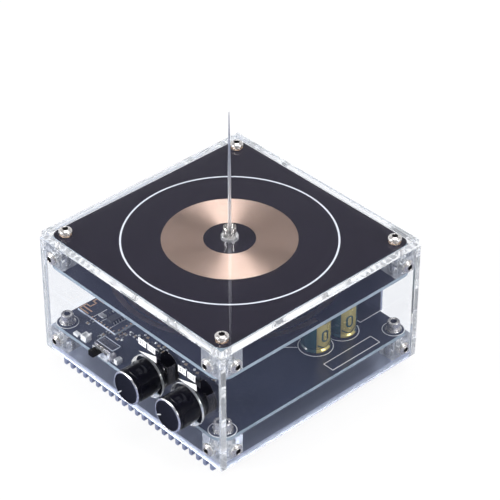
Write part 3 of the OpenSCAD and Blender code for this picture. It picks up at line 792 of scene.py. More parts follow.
@dataclass
class ClearCase:
    """The four walls, the cover plate and the eight corner blocks, all clear."""

    knob_hole: float = 18.6
    lever_z: float = 22.75
    lever_slot: tuple[float, float] = (9.2, 3.9)
    socket_cut: tuple[float, float] = (9.6, 11.6)
    centre_hole: float = 7.0
    edge: float = 0.16

    def wall_places(self, height: float) -> list[tuple[float, float, float]]:
        """Returns the screw holes of one wall, about its middle at half height."""
        middle = SIZE.base + height / 2
        return [(x, z - middle, SIZE.screw_hole) for x in (-SIZE.corner, SIZE.corner) for z in SIZE.levels()]

    def stand(self, turn: float) -> Matrix:
        """Returns the place of a wall that was cut lying down: its lower face goes outwards."""
        middle = (SIZE.base + SIZE.plate) / 2
        up = Matrix(((1, 0, 0, 0), (0, 0, 1, -SIZE.case / 2 + SIZE.air), (0, 1, 0, middle), (0, 0, 0, 1)))
        return about_z(turn) @ up

    def walls(self) -> None:
        """Cuts the four walls with their holes and stands them up."""
        height = SIZE.plate - SIZE.base
        middle = SIZE.base + height / 2
        thick, tall = SIZE.wall - 2 * SIZE.air, height - 2 * SIZE.air
        rounds = self.wall_places(height)
        knobs = [(x, SIZE.knob_z - middle, self.knob_hole) for x in SIZE.knob_x]
        lever = [(SIZE.switch_x, self.lever_z - middle, *self.lever_slot)]
        low = SIZE.control_top - 0.3
        socket = [(-SIZE.socket_x, low + self.socket_cut[1] / 2 - middle, *self.socket_cut)]
        plans = {
            "front_wall": (SIZE.case, rounds + knobs, lever, 0.0),
            "back_wall": (SIZE.case, rounds, socket, 180.0),
            "left_wall": (SIZE.inner, rounds, (), -90.0),
            "right_wall": (SIZE.inner, rounds, (), 90.0),
        }
        for name, (width, holes, slots, turn) in plans.items():
            cut = Blank.sheet(width - 2 * SIZE.air, tall, thick, holes, slots, soft=self.edge)
            turned = cut.moved(self.stand(turn))
            bmesh.ops.recalc_face_normals(turned.bm, faces=turned.bm.faces[:])
            Piece(f"clear_{name}", "acrylic", [Shelf.clear, Shelf.cut_edge], replaces=[name]).add(turned).done()

    def cover(self) -> None:
        """Cuts the cover plate."""
        side = SIZE.case - 2 * SIZE.plate_inset
        holes = [(x, y, SIZE.screw_hole) for x, y in SIZE.corners()] + [(0.0, 0.0, self.centre_hole)]
        plate = Blank.sheet(side, side, SIZE.plate_top - SIZE.plate - 2 * SIZE.air, holes, soft=self.edge)
        Piece("clear_cover", "acrylic", [Shelf.clear, Shelf.cut_edge], replaces=["cover_plate"]).add(
            plate, at(z=SIZE.plate + SIZE.air)).done()

    def blocks(self) -> None:
        """Drills and places the corner blocks."""
        half = SIZE.block / 2 - SIZE.air
        for name, low, radius in (("lower_blocks", SIZE.low_block, 1.7), ("upper_blocks", SIZE.primary_top, 1.5)):
            piece = Piece(f"clear_{name}", "acrylic", [Shelf.block_face], replaces=[name])
            body = Blank.box((-half, -half, -half), (half, half, half), 0.18)
            bore = Blank.turned([(0, -8), (radius, -8), (radius, 8), (0, 8)], steps=32)
            side = Blank.turned([(0, 1.2), (1.5, 1.2), (1.5, 8), (0, 8)], steps=32)
            for x, y in SIZE.corners():
                sides = [side.moved((Facing.RIGHT if x > 0 else Facing.LEFT).turn()),
                         side.moved((Facing.BACK if y > 0 else Facing.FRONT).turn())]
                drilled = body.carved(bore, *sides)
                piece.add(drilled, at(x, y, low + SIZE.block / 2))
            piece.done()

    def panel_print(self) -> None:
        """Prints a rising wedge over each knob on the front wall, and over it two plain pictures in place of words:
        a square wave and bars, cut out of solid blocks."""
        low, high = 42.8, 46.0
        piece = Piece("front_wall_print", "board", [Shelf.bright_ink_painted_light])
        face = Matrix(((1, 0, 0, 0), (0, 0, 1, -SIZE.case / 2 - INK_T), (0, 1, 0, 0), (0, 0, 0, 1)))
        wedge = Blank.prism([(-4.4, 39.0), (6.4, 39.0), (6.4, 42.2)], INK_T)

        def block(x: float, marks: Sequence[tuple[float, float, float, float]]) -> Blank:
            """Makes one solid block with strokes cut out of it, each given by two corners from the block's own."""
            solid = Blank.box((x, low, 0), (x + 4.6, high, INK_T))
            cuts = [Blank.box((x + a, low + b, -1), (x + c, low + d, 1)) for a, b, c, d in marks]
            return solid.carved(*cuts)

        square = [(0.5, 0.6, 1.5, 0.95), (1.2, 0.95, 1.5, 2.4), (1.5, 2.1, 2.7, 2.4), (2.4, 0.9, 2.7, 2.1),
                  (2.7, 0.6, 4.1, 0.95)]
        bars = [(0.6, 0.6, 0.9, 2.5), (1.5, 0.6, 1.8, 1.9), (2.4, 0.6, 2.7, 1.3), (3.3, 0.6, 3.6, 2.5)]
        for x in SIZE.knob_x:
            piece.add(wedge, face @ at(x))
            piece.add(block(x - 4.3, square), face).add(block(x + 1.2, bars), face)
        piece.done()

    def build(self) -> None:
        """Builds the whole clear case."""
        self.walls()
        self.panel_print()
        self.cover()
        self.blocks()


@dataclass
class Fasteners:
    """Every screw and washer of the case."""

    head_d: float = 5.7
    head_h: float = 1.65
    thread_d: float = 2.9
    root_d: float = 2.45
    pitch: float = 0.5
    hex_low: float = 2.3
    hex_cap: float = 2.5
    cap_d: float = 5.5
    cap_h: float = 3.0
    wall_length: float = 6.0
    cover_length: float = 8.0
    board_length: float = 14.0
    under_length: float = 5.0
    mount_length: float = 3.5

    def shank(self, length: float) -> Blank:
        """Makes a threaded shank that goes down from z = 0: a core and one helical ridge round it.

        Args:
            length: How far it goes down.

        Returns:
            The shank.
        """
        r, top = self.root_d / 2, self.thread_d / 2
        core = Blank.turned([(0, -length), (r - 0.35, -length), (r, -length + 0.35), (r, 0.05), (0, 0.05)], steps=20)
        ridge = Blank()
        verts = [ridge.bm.verts.new((x, 0.0, z)) for x, z in ((r - 0.06, -0.22), (top, -0.03), (top, 0.03),
                                                              (r - 0.06, 0.22))]
        face = ridge.bm.faces.new(verts)
        bmesh.ops.translate(ridge.bm, vec=(0, 0, -length + 0.5), verts=verts)
        turns, round_steps = int((length - 0.9) / self.pitch), 14
        steps = turns * round_steps
        bmesh.ops.spin(ridge.bm, geom=[face, *face.edges, *face.verts], cent=(0, 0, 0), axis=(0, 0, 1),
                       dvec=(0, 0, self.pitch / round_steps), angle=math.tau * turns, steps=steps, use_merge=False)
        ridge.cleaned()
        return core.joined(ridge)

    def socket(self, across: float, top: float, depth: float) -> list[Blank]:
        """Makes the cutters of a hex socket with a small countersink.

        Args:
            across: Width across the flats.
            top: Height of the head's top.
            depth: Depth of the socket.

        Returns:
            The two cutters.
        """
        r = across / 2 / math.cos(math.pi / 6)
        outline = [(r * math.cos(math.tau * k / 6), r * math.sin(math.tau * k / 6)) for k in range(6)]
        hexagon = Blank.prism(outline, depth + 1.0).moved(at(z=top - depth))
        sink = Blank.turned([(0, top - 0.2), (r - 0.08, top - 0.2), (r + 0.22, top + 0.1), (0, top + 0.1)], steps=32)
        return [hexagon, sink]

    @staticmethod
    def paint_socket_shade(head: Blank, across: float, top: float) -> Blank:
        """Paints shade into a head's hex socket: its walls and floor get the near-black second finish."""
        for face in head.bm.faces:
            middle = face.calc_center_median()
            inside = math.hypot(middle.x, middle.y) < across / 2 + 0.12 and middle.z < top - 0.19
            face.material_index = 1 if inside else 0
        return head

    def low_screw(self, length: float) -> Blank:
        """Makes a low-head screw whose head stands on z = 0."""
        r, h = self.head_d / 2, self.head_h
        crown = [(0.0, 0.0), (r - 0.12, 0.0), (r, 0.12), (r, 0.42)]
        crown += [(r * math.cos(a) ** 0.9, 0.42 + (h - 0.42) * math.sin(a)) for a in
                  [math.radians(k) for k in (12, 24, 36, 48, 60)]] + [(1.35, h), (0.0, h)]
        head = Blank.turned(crown, steps=48).carved(*self.socket(self.hex_low, h, 1.05))
        return self.paint_socket_shade(head, self.hex_low, h).joined(self.shank(length))

    def cap_screw(self, length: float) -> Blank:
        """Makes a socket-cap screw with a knurled side whose head stands on z = 0."""
        r, h = self.cap_d / 2, self.cap_h
        profile = [(0, 0), (r - 0.15, 0), (r, 0.15), (r, 0.3), (r, h - 0.55), (r - 0.08, h - 0.3), (r - 0.3, h),
                   (0, h)]
        blank = Blank.turned(profile, steps=72)
        for vert in blank.bm.verts:
            side = math.hypot(vert.co.x, vert.co.y) > r - 0.01
            turn = round(math.atan2(vert.co.y, vert.co.x) / math.tau * 72)
            if side and turn % 2:
                vert.co.x, vert.co.y = vert.co.x * 0.965, vert.co.y * 0.965
        head = blank.carved(*self.socket(self.hex_cap, h, 1.5))
        return self.paint_socket_shade(head, self.hex_cap, h).joined(self.shank(length))

    def wall_screws(self) -> None:
        """Places the sixteen wall screws, each with its socket turned its own way."""
        piece = Piece("case_wall_screws", "steel", [Shelf.steel, Shelf.painted_socket_shade], replaces=["wall_screws"])
        spots = [(x, z) for x in (-SIZE.corner, SIZE.corner) for z in SIZE.levels()]
        places = [about_z(90.0 * side) @ at(x, -SIZE.case / 2, z) @ Facing.FRONT.turn()
                  @ about_z(17.0 * (n * 5 % 7) + 11.0 * side) for side in range(4) for n, (x, z) in enumerate(spots)]
        piece.add(self.low_screw(self.wall_length), *places).done()

    def cover_screws(self) -> None:
        """Places the four cover screws."""
        piece = Piece("case_cover_screws", "steel", [Shelf.steel, Shelf.painted_socket_shade], replaces=["cover_screws"])
        places = [at(x, y, SIZE.plate_top) @ about_z(23.0 * n) for n, (x, y) in enumerate(SIZE.corners())]
        piece.add(self.low_screw(self.cover_length), *places).done()

    def board_screws(self) -> None:
        """Places the socket-cap screws with their flat and spring washers."""
        top = SIZE.control_top
        cap = Piece("control_board_screws", "steel", [Shelf.steel, Shelf.painted_socket_shade], replaces=["board_screws"])
        cap.add(self.cap_screw(self.board_length), *[at(x, y, top + 1.3) @ about_z(31.0 * n)
                                                     for n, (x, y) in enumerate(SIZE.corners())]).done()
        flat = Piece("control_board_washers", "steel", [Shelf.nickel], replaces=["board_washers"])
        flat.add(Blank.ring(1.7, 3.5, 0.48, soft=0.08), *[at(x, y, top + 0.01) for x, y in SIZE.corners()]).done()
        split = Blank.ring(1.7, 2.95, 0.78, steps=48, soft=0.1).carved(
            Blank.box((0.5, -0.35, -1.0), (4.0, 0.35, 2.0)))
        spring = Piece("control_board_spring_washers", "steel", [Shelf.steel], replaces=["spring_washers"])
        spring.add(split, *[at(x, y, top + 0.51) @ about_z(-40.0 + 35.0 * n)
                            for n, (x, y) in enumerate(SIZE.corners())]).done()

    def hidden_screws(self) -> None:
        """Places the screws below the primary board and those of the transistors."""
        under = Piece("primary_board_screws", "steel", [Shelf.steel, Shelf.painted_socket_shade], replaces=["primary_screws"])
        under.add(self.low_screw(self.under_length), *[at(x, y, SIZE.primary) @ Facing.DOWN.turn()
                                                       for x, y in SIZE.corners()]).done()
        base = Piece("transistor_mount_screws", "steel", [Shelf.steel, Shelf.painted_socket_shade], replaces=["transistor_screws"])
        base.add(self.low_screw(self.mount_length), *[at(x, 8.8, 10.0) for x in (-15.0, 15.0)]).done()

    def build(self) -> None:
        """Builds all the fasteners."""
        self.wall_screws()
        self.cover_screws()
        self.board_screws()
        self.hidden_screws()


@dataclass
class CoilDeck:
    """The coil board with its winding, ring line and pads, and the needle in its socket."""

    inner_r: float = 10.85
    outer_r: float = 28.1
    turns: int = 86
    per_turn: int = 72
    track: float = 0.13
    line_r: float = 44.6
    line_w: float = 0.75
    needle_low: float = 65.0
    needle_top: float = 125.0
    socket_h: float = 7.5

    def winding(self, name: str, node: str, turns: int, inner: float, outer: float, track: float,
                level: float, rise: float) -> None:
        """Lays one unbroken flat spiral track on a board.

        Args:
            name: Name of the piece.
            node: The CAD winding it stands for.
            turns: Number of loops.
            inner: Radius of the track's middle at its start.
            outer: Radius of the track's middle at its end.
            track: Width of the track.
            level: Height of the board's surface.
            rise: Thickness of the track.
        """
        steps = turns * self.per_turn
        curve = bpy.data.curves.new(name, "CURVE")
        curve.dimensions, curve.use_fill_caps = "3D", True
        curve.bevel_depth, curve.bevel_resolution = track / 2, 1
        line = curve.splines.new("POLY")
        line.points.add(steps)
        for k, point in enumerate(line.points):
            angle, r = math.tau * k / self.per_turn, inner + (outer - inner) * k / steps
            point.co = (r * math.cos(angle), r * math.sin(angle), 0.0, 1.0)
        shape = bpy.data.objects.new("track", curve)
        bpy.context.scene.collection.objects.link(shape)
        bpy.context.view_layer.update()
        mesh = bpy.data.meshes.new_from_object(shape.evaluated_get(bpy.context.evaluated_depsgraph_get()))
        bpy.data.objects.remove(shape)
        blank = Blank()
        blank.bm.from_mesh(mesh)
        bpy.data.meshes.remove(mesh)
        bmesh.ops.scale(blank.bm, vec=(1, 1, rise / track), verts=blank.bm.verts[:])
        Piece(name, "copper", [Shelf.copper], replaces=[node], sharp=80.0, weighted=False).add(
            blank, at(z=level + rise / 2 + 0.004)).done()

    def boards(self) -> None:
        """Cuts the coil board, prints its ring line and lays its pads."""
        circuit_board("coil_circuit_board", "coil_board", Shelf.mask, SIZE.coil)
        line = Piece("coil_board_print", "board", [Shelf.ink])
        half = self.line_w / 2
        ring = Blank.ring(self.line_r - half, self.line_r + half, INK_T, steps=160)
        line.add(ring, at(z=SIZE.coil_top + INK_LIFT)).done()
        pads = Piece("coil_board_pads", "gold", [Shelf.gold], replaces=["coil_pads"])
        pads.add(Blank.ring(1.75, 2.55, 0.07, soft=0.02),
                 *[at(x, y, SIZE.coil_top + 0.003) for x, y in SIZE.corners()]).done()

    def socket(self) -> None:
        """Turns the needle's socket: a knurled barrel with a slotted crown."""
        r, h = 2.8, self.socket_h
        profile = [(0, 0), (r, 0), (r, 0.9), (r - 0.28, 1.1), (r - 0.28, 1.5), (r, 1.7), (r, 2.35), (r, 3.0),
                   (r, 3.65), (r, 4.3), (r - 0.25, 4.5), (r - 0.25, 4.8), (r - 0.02, 5.0), (r - 0.02, h - 0.35),
                   (r - 0.35, h), (0, h)]
        blank = Blank.turned(profile, steps=60)
        for vert in blank.bm.verts:
            if 1.65 < vert.co.z < 4.35 and math.hypot(vert.co.x, vert.co.y) > r - 0.05:
                turn = round(math.atan2(vert.co.y, vert.co.x) / math.tau * 60) + round((vert.co.z - 1.7) / 0.65)
                if turn % 2:
                    vert.co.x, vert.co.y = vert.co.x * 0.9, vert.co.y * 0.9
        bore = Blank.turned([(0, h - 2.6), (1.75, h - 2.6), (1.75, h + 1), (0, h + 1)], steps=32)
        deep = Blank.turned([(0, h - 5.0), (0.8, h - 5.0), (0.8, h), (0, h)], steps=24)
        slots = [Blank.box((-4, -0.85, h - 2.3), (4, 0.85, h + 1)).moved(about_z(a)) for a in (48, 138)]
        socket = blank.carved(bore, deep, *slots)
        Piece("needle_holder", "sheet_metal", [Shelf.nickel], replaces=["needle_socket"], sharp=20.0).add(
            socket, at(z=SIZE.coil_top)).done()

    def needle(self) -> None:
        """Turns the long needle, which thins towards its tip."""
        low, top = self.needle_low, self.needle_top
        length = top - low
        shape = [(0.0, 0.0), (0.7, 0.0), (0.74, 0.1)]
        shape += [(0.74 - 0.10 * k / 12, 0.55 * length * k / 12) for k in range(1, 13)]
        shape += [(0.64 - (0.64 - 0.15) * k / 12, length * (0.55 + 0.447 * k / 12)) for k in range(1, 13)]
        shape += [(0.09, length - 0.05), (0.0, length)]
        Piece("discharge_needle", "needle_steel", [Shelf.needle], replaces=["needle"]).add(
            Blank.turned(shape, steps=28), at(z=low)).done()

    def build(self) -> None:
        """Builds the deck."""
        self.boards()
        self.winding("secondary_spiral", "secondary_winding", self.turns, self.inner_r, self.outer_r, self.track,
                     SIZE.coil_top, 0.07)
        self.winding("primary_spiral", "primary_winding", 5, 32.2, 49.2, 2.4, SIZE.primary_top, 0.18)
        self.socket()
        self.needle()


@dataclass
class ControlDeck:
    """The primary board, the control board and what stands on it."""

    can_d: float = 12.6
    can_h: float = 25.0
    cans: tuple[tuple[float, float], ...] = ((33.3, 16.0), (33.3, 31.0))
    film: Point = (18.0, 7.5, 13.5)
    film_x: float = -20.0
    film_y: tuple[float, float] = (22.0, 10.0)
    fine_line: float = 0.15
    chips: tuple[tuple[float, float], ...] = ((-34.0, 6.0), (-8.0, -6.0), (12.0, 30.0))

    def boards(self) -> None:
        """Cuts both boards."""
        circuit_board("control_circuit_board", "control_board", Shelf.mask_low, SIZE.control)
        circuit_board("primary_circuit_board", "primary_board", Shelf.mask, SIZE.primary, [(-38.0, 34.0, 2.0)])

    def print_marks(self) -> None:
        """Prints the control board: rings, frames and lines, without any lettering."""
        ink = Piece("control_board_print", "board", [Shelf.bright_ink_painted_light])
        top = at(z=SIZE.control_top + INK_LIFT)

        def stroke(x0: float, y0: float, x1: float, y1: float, width: float = 0.38) -> None:
            """Prints one straight line."""
            length, turn = math.hypot(x1 - x0, y1 - y0), math.degrees(math.atan2(y1 - y0, x1 - x0))
            ink.add(Blank.box((0, -width / 2, 0), (length, width / 2, INK_T)), top @ at(x0, y0) @ about_z(turn))

        ink.add(Blank.ring(4.5, 4.85, INK_T), *[top @ at(x, y) for x, y in SIZE.corners()])
        ink.add(Blank.ring(7.1, 7.5, INK_T), *[top @ at(x, y) for x, y in self.cans])
        for x0, y0, x1, y1 in ((44.4, 9.8, 49.7, 9.8), (49.7, 9.8, 49.7, 37.0), (49.7, 37.0, 44.4, 37.0),
                               (44.4, 37.0, 44.4, 9.8), (25.1, 5.2, 29.2, 9.6), (34.9, 40.5, 34.9, 52.0),
                               (25.1, 40.5, 25.1, 52.0), (25.1, 40.5, 34.9, 40.5)):
            stroke(x0, y0, x1, y1)
        for x, y in self.chips:
            stroke(x - 3.2, y - 0.6, x + 3.2, y - 0.6, self.fine_line)
            ink.add(Blank.ring(0.0001, 0.3, INK_T, steps=12), top @ at(x - 3.6, y + 0.4))
        for film_y in reversed(self.film_y):
            for y in (film_y - 0.5, film_y + 8.0):
                stroke(self.film_x - 9.4, y, self.film_x + 9.4, y, self.fine_line)
        ink.done()

    def filter_cans(self) -> None:
        """Turns the two filter capacitors: a can in a printed sleeve, crimped above its foot."""
        r, h = self.can_d / 2, self.can_h
        profile = [(0, 0.1), (r - 0.9, 0.1), (r - 0.45, 0.25), (r - 0.05, 0.7), (r, 1.1), (r - 0.1, 1.5),
                   (r - 0.62, 1.95), (r - 0.7, 2.15), (r - 0.62, 2.35), (r - 0.1, 2.8), (r, 3.2), (r, 8.0),
                   (r, 14.0), (r, 20.0), (r, h - 1.2), (r - 0.12, h - 0.55), (r - 0.5, h - 0.12), (r - 1.0, h)]
        can = Blank.turned(profile, steps=72)
        uv = can.bm.loops.layers.uv.new("UVMap")
        for face in can.bm.faces:
            turn = math.atan2(face.calc_center_median().y, face.calc_center_median().x)
            for loop in face.loops:
                angle = math.atan2(loop.vert.co.y, loop.vert.co.x)
                if angle - turn > math.pi:
                    angle -= math.tau
                elif turn - angle > math.pi:
                    angle += math.tau
                loop[uv].uv = (angle * r, loop.vert.co.z)
        lid = Blank.turned([(0, h - 0.45), (0.6, h - 0.42), (r - 1.3, h - 0.35), (r - 1.05, h - 0.1),
                            (r - 0.98, h - 0.5), (r - 1.0, h - 1.2), (0, h - 1.3)], steps=48)
        score = Blank.box((-r + 2.2, -0.2, h - 0.62), (r - 2.2, 0.2, h + 1))
        lid = lid.carved(score, score.moved(about_z(60)), score.moved(about_z(120)))
        piece = Piece("filter_cans", "sleeve", [Shelf.sleeve, Shelf.can], replaces=["filter_capacitors"])
        for (x, y), turn in zip(self.cans, (-7.0, -14.0)):
            place = at(x, y, SIZE.control_top) @ about_z(turn)
            piece.add(can, place, finish=0).add(lid, place, finish=1)
        piece.done()

    def films(self) -> None:
        """Makes the film capacitors with rounded, coated bodies."""
        w, d, h = self.film
        body = Blank.box((-w / 2, 0, 0.4), (w / 2, d, h), 1.4, 4)
        leads = [Blank.turned([(0, -0.5), (0.4, -0.5), (0.4, 1.2), (0, 1.2)], steps=16).moved(at(x, d / 2))
                 for x in (-7.5, 7.5)]
        piece = Piece("film_capacitor_bodies", "film", [Shelf.film, Shelf.tin], replaces=["film_capacitors"])
        for y in self.film_y:
            place = at(self.film_x, y, SIZE.control_top)
            piece.add(body, place)
            for lead in leads:
                piece.add(lead, place @ at(z=0.55), finish=1)
        piece.done()

    def lead(self) -> Blank:
        """Bends one gull-wing lead that leaves a chip towards +X and lands at z = 0."""
        outline = [(0.0, 0.72), (0.38, 0.72), (0.62, 0.12), (1.15, 0.12), (1.15, 0.0), (0.55, 0.0), (0.3, 0.6),
                   (0.0, 0.6)]
        raised = Blank.prism(outline, 0.42)
        return raised.moved(Facing.FRONT.turn() @ at(z=-0.21))

    def soic(self, pins: int, width: float, length: float, height: float) -> Blank:
        """Makes a chip with leads on its two long sides.

        Args:
            pins: Leads per side.
            width: Body size along X.
            length: Body size along Y.
            height: Its height.

        Returns:
            The chip, its body in finish 0 and its leads in finish 1.
        """
        half = width / 2
        chip = Blank.box((-half, 0, 0.12), (half, length, height), 0.12)
        dimple = Blank.turned([(0, height - 0.08), (0.35, height - 0.08), (0.4, height + 1), (0, height + 1)], steps=20)
        chip = chip.carved(dimple.moved(at(-half + 0.9, length - 1.0)))
        lead = self.lead().painted(1)
        for k in range(pins):
            y = length * (k + 0.5) / pins
            chip.joined(lead.moved(at(half - 0.05, y)), lead.moved(at(-half + 0.05, y) @ about_z(180)))
        return chip

    def control_chips(self) -> None:
        """Places the three control chips."""
        piece = Piece("control_chip_set", "chip", [Shelf.epoxy, Shelf.tin], replaces=["control_chips"])
        chip = self.soic(8, 4.0, 10.0, 1.6)
        piece.add(chip, *[at(x, y, SIZE.control_top) for x, y in self.chips]).done()

    def small_parts(self) -> None:
        """Scatters the small soldered parts in the rows that the board has."""
        piece = Piece("small_parts", "chip", [Shelf.ceramic, Shelf.tin, Shelf.epoxy, Shelf.pale])
        body = Blank.box((-0.62, -0.5, 0.02), (0.62, 0.5, 0.5), 0.06)
        end = Blank.box((-0.2, -0.53, 0.0), (0.2, 0.53, 0.55), 0.08)
        top = SIZE.control_top
        rows = [((-6.6, -32.0), 90, 2, 1), ((-6.6, -29.0), 90, 2, 0), ((3.4, -33.0), 90, 2, 1),
                ((-22.6, -33.5), 90, 3, 1), ((20.4, -33.0), 90, 3, 0), ((23.5, -31.5), 0, 3, 1),
                ((-13.0, -27.0), 0, 4, 0), ((9.0, -27.0), 0, 4, 1),
                ((-24.0, -40.0), 0, 3, 0), ((-3.6, -44.2), 90, 2, 0), ((-30.0, -44.5), 0, 4, 1),
                ((-40.5, -42.0), 0, 3, 0), ((-42.0, 6.0), 90, 5, 1), ((-28.0, 3.0), 90, 4, 0), ((-2.0, 2.0), 90, 4, 1),
                ((18.5, 27.0), 90, 4, 0), ((4.0, 24.0), 0, 4, 1)]
        for (x, y), turn, count, kind in rows:
            for k in range(count):
                shift = at(0, 2.3 * k) if turn == 0 else at(2.3 * k, 0)
                place = at(x, y, top) @ shift @ about_z(turn)
                piece.add(body, place, finish=(0, 2)[(kind + k) % 2])
                piece.add(end, place @ at(-0.75), place @ at(0.75), finish=1)
        dot = Blank.turned([(0, 0.02), (0.62, 0.02), (0.5, 0.3), (0.2, 0.48), (0, 0.5)], steps=16)
        loop = Blank.ring(0.75, 1.25, 0.12, steps=24, soft=0.04)
        for side in (0.0, 23.8):
            spots = [(-19.7, -31.6), (-16.3, -32.6), (-13.6, -32.5), (-7.9, -32.6), (-3.4, -32.9), (-18.2, -29.6),
                     (-11.2, -29.8)]
            piece.add(dot, *[at(x + side, y, top) for x, y in spots], finish=1)
            piece.add(body, *[at(x + side, y, top) @ about_z(30.0) for x, y in ((-16.0, -30.2), (-8.8, -30.4))],
                      finish=0)
        piece.add(loop, *[at(x, y, top) for x, y in ((-29.1, -38.2), (-26.0, -36.4))], finish=0)
        piece.add(dot, *[at(x, y, top) for x, y in ((-26.9, -33.3), (-23.8, -32.8), (-29.5, -35.0), (-30.6, -43.4),
                                                    (-34.4, -45.6), (-22.4, -38.8))], finish=3)
        piece.done()

    def edge_parts(self) -> None:
        """Makes the small white parts by the front edge."""
        piece = Piece("edge_part_set", "white_plastic", [Shelf.pale, Shelf.tin], replaces=["edge_connectors"])
        for x, y, w, d, h in ((-37.6, -50.3, 3.0, 2.0, 1.2), (-32.6, -49.6, 3.4, 3.2, 2.8),
                              (-11.8, -49.8, 2.0, 3.0, 2.4)):
            body = Blank.box((-w / 2, -d / 2, 0.0), (w / 2, d / 2, h), 0.12)
            if h > 2.0:
                body = body.carved(Blank.box((-w / 2 + 0.4, -d / 2 + 0.4, h - 1.2), (w / 2 - 0.4, d / 2 - 0.4, h + 1)))
            piece.add(body, at(x, y, SIZE.control_top), finish=0)
            foot = Blank.box((-0.25, -0.5, 0.0), (0.25, 0.5, 0.6), 0.06)
            piece.add(foot, *[at(x + s * (w / 2 + 0.15), y, SIZE.control_top) for s in (-1, 1)], finish=1)
        piece.done()

    def module(self) -> None:
        """Makes the wireless module: its board, antenna, chip, pads and crystal can."""
        low, top = (-51.0, -39.0), SIZE.control_top + 1.0
        board = Blank.sheet(24.4, 16.0, 1.0, soft=0.05)
        Piece("module_board", "board", [Shelf.mask_low, Shelf.module_edge], replaces=["wireless_board"]).add(
            board, at(low[0] + 12.2, low[1] + 8.0, SIZE.control_top)).done()
        copper = Piece("module_copper", "copper", [Shelf.brown, Shelf.gold])
        thin = 0.04

        def track(x0: float, y0: float, x1: float, y1: float, width: float = 0.65) -> None:
            """Lays one straight copper track, given from the module's corner."""
            a = (min(x0, x1) - width / 2, min(y0, y1) - width / 2, 0)
            b = (max(x0, x1) + width / 2, max(y0, y1) + width / 2, thin)
            copper.add(Blank.box(a, b), at(low[0], low[1], top + INK_LIFT), finish=0)

        for ends in ((0.5, 0.7, 5.9, 0.7), (0.5, 0.7, 0.5, 4.4), (0.5, 2.6, 6.1, 2.6), (0.5, 4.4, 3.0, 4.4),
                     (3.0, 4.4, 3.0, 7.8), (3.0, 7.8, 0.9, 7.8), (0.9, 7.8, 0.9, 10.0), (0.9, 10.0, 5.2, 10.0),
                     (5.2, 10.0, 5.2, 12.2), (5.2, 12.2, 0.9, 12.2), (0.9, 12.2, 0.9, 14.6)):
            track(*ends)
        pad = Blank.box((-0.45, -0.35, 0), (0.45, 0.35, thin * 2), 0.03)
        for k in range(8):
            for y in (0.5, 15.5):
                copper.add(pad, at(low[0] + 9.2 + 1.9 * k, low[1] + y, top + INK_LIFT) @ about_z(90), finish=1)
        for k in range(6):
            copper.add(pad, at(low[0] + 23.8, low[1] + 2.8 + 2.1 * k, top + INK_LIFT), finish=1)
        copper.done()
        line = Piece("module_print", "board", [Shelf.bright_ink_painted_light])
        line.add(Blank.box((-0.16, 0, 0), (0.16, 7.6, INK_T)), at(-41.6, -38.4, top + INK_LIFT))
        line.add(Blank.box((-0.1, 0, 0), (0.1, 9.2, INK_T)), *[at(x, -38.2, top + INK_LIFT) for x in (-36.9, -31.0)])
        line.done()
        chip = Piece("module_chip", "chip", [Shelf.epoxy, Shelf.tin], replaces=["wireless_chip"])
        chip.add(self.soic(7, 3.4, 9.6, 1.5), at(-34.0, -35.8, top))
        can = Blank.box((-1.6, -1.2, 0), (1.6, 1.2, 0.75), 0.2, 3)
        chip.add(can, at(-39.2, -35.2, top), finish=1)
        for k in range(5):
            chip.add(Blank.box((-0.5, -0.3, 0), (0.5, 0.3, 0.4), 0.05), at(-38.6, -31.5 + 1.5 * k, top), finish=k % 2)
        chip.done()

    def wires(self) -> None:
        """Runs the wires between the boards, with bare soldered ends."""
        piece = Piece("board_link_wires", "wire", [Shelf.wire, Shelf.tin], replaces=["link_wires"])
        runs = [(-26.0, 40.0, SIZE.primary), (-14.0, 40.0, SIZE.primary), (-38.0, 34.0, SIZE.coil)]
        for x, y, high in runs:
            length = high - SIZE.control_top
            body = Blank.turned([(0, 1.2), (0.62, 1.2), (0.78, 1.4), (0.8, 2.0), (0.8, length / 2),
                                 (0.8, length - 2.0), (0.78, length - 1.4), (0.62, length - 1.2),
                                 (0, length - 1.2)], steps=24)
            core = Blank.turned([(0, 0.02), (1.1, 0.02), (0.7, 0.35), (0.45, 0.9), (0.42, 1.6), (0.42, length - 1.6),
                                 (0.45, length - 0.9), (0.7, length - 0.35), (1.1, length - 0.02),
                                 (0, length - 0.02)], steps=20)
            place = at(x, y, SIZE.control_top)
            piece.add(body, place, finish=0).add(core, place, finish=1)
        piece.done()

    def build(self) -> None:
        """Builds the deck."""
        self.boards()
        self.print_marks()
        self.filter_cans()
        self.films()
        self.control_chips()
        self.small_parts()
        self.edge_parts()
        self.module()
        self.wires()


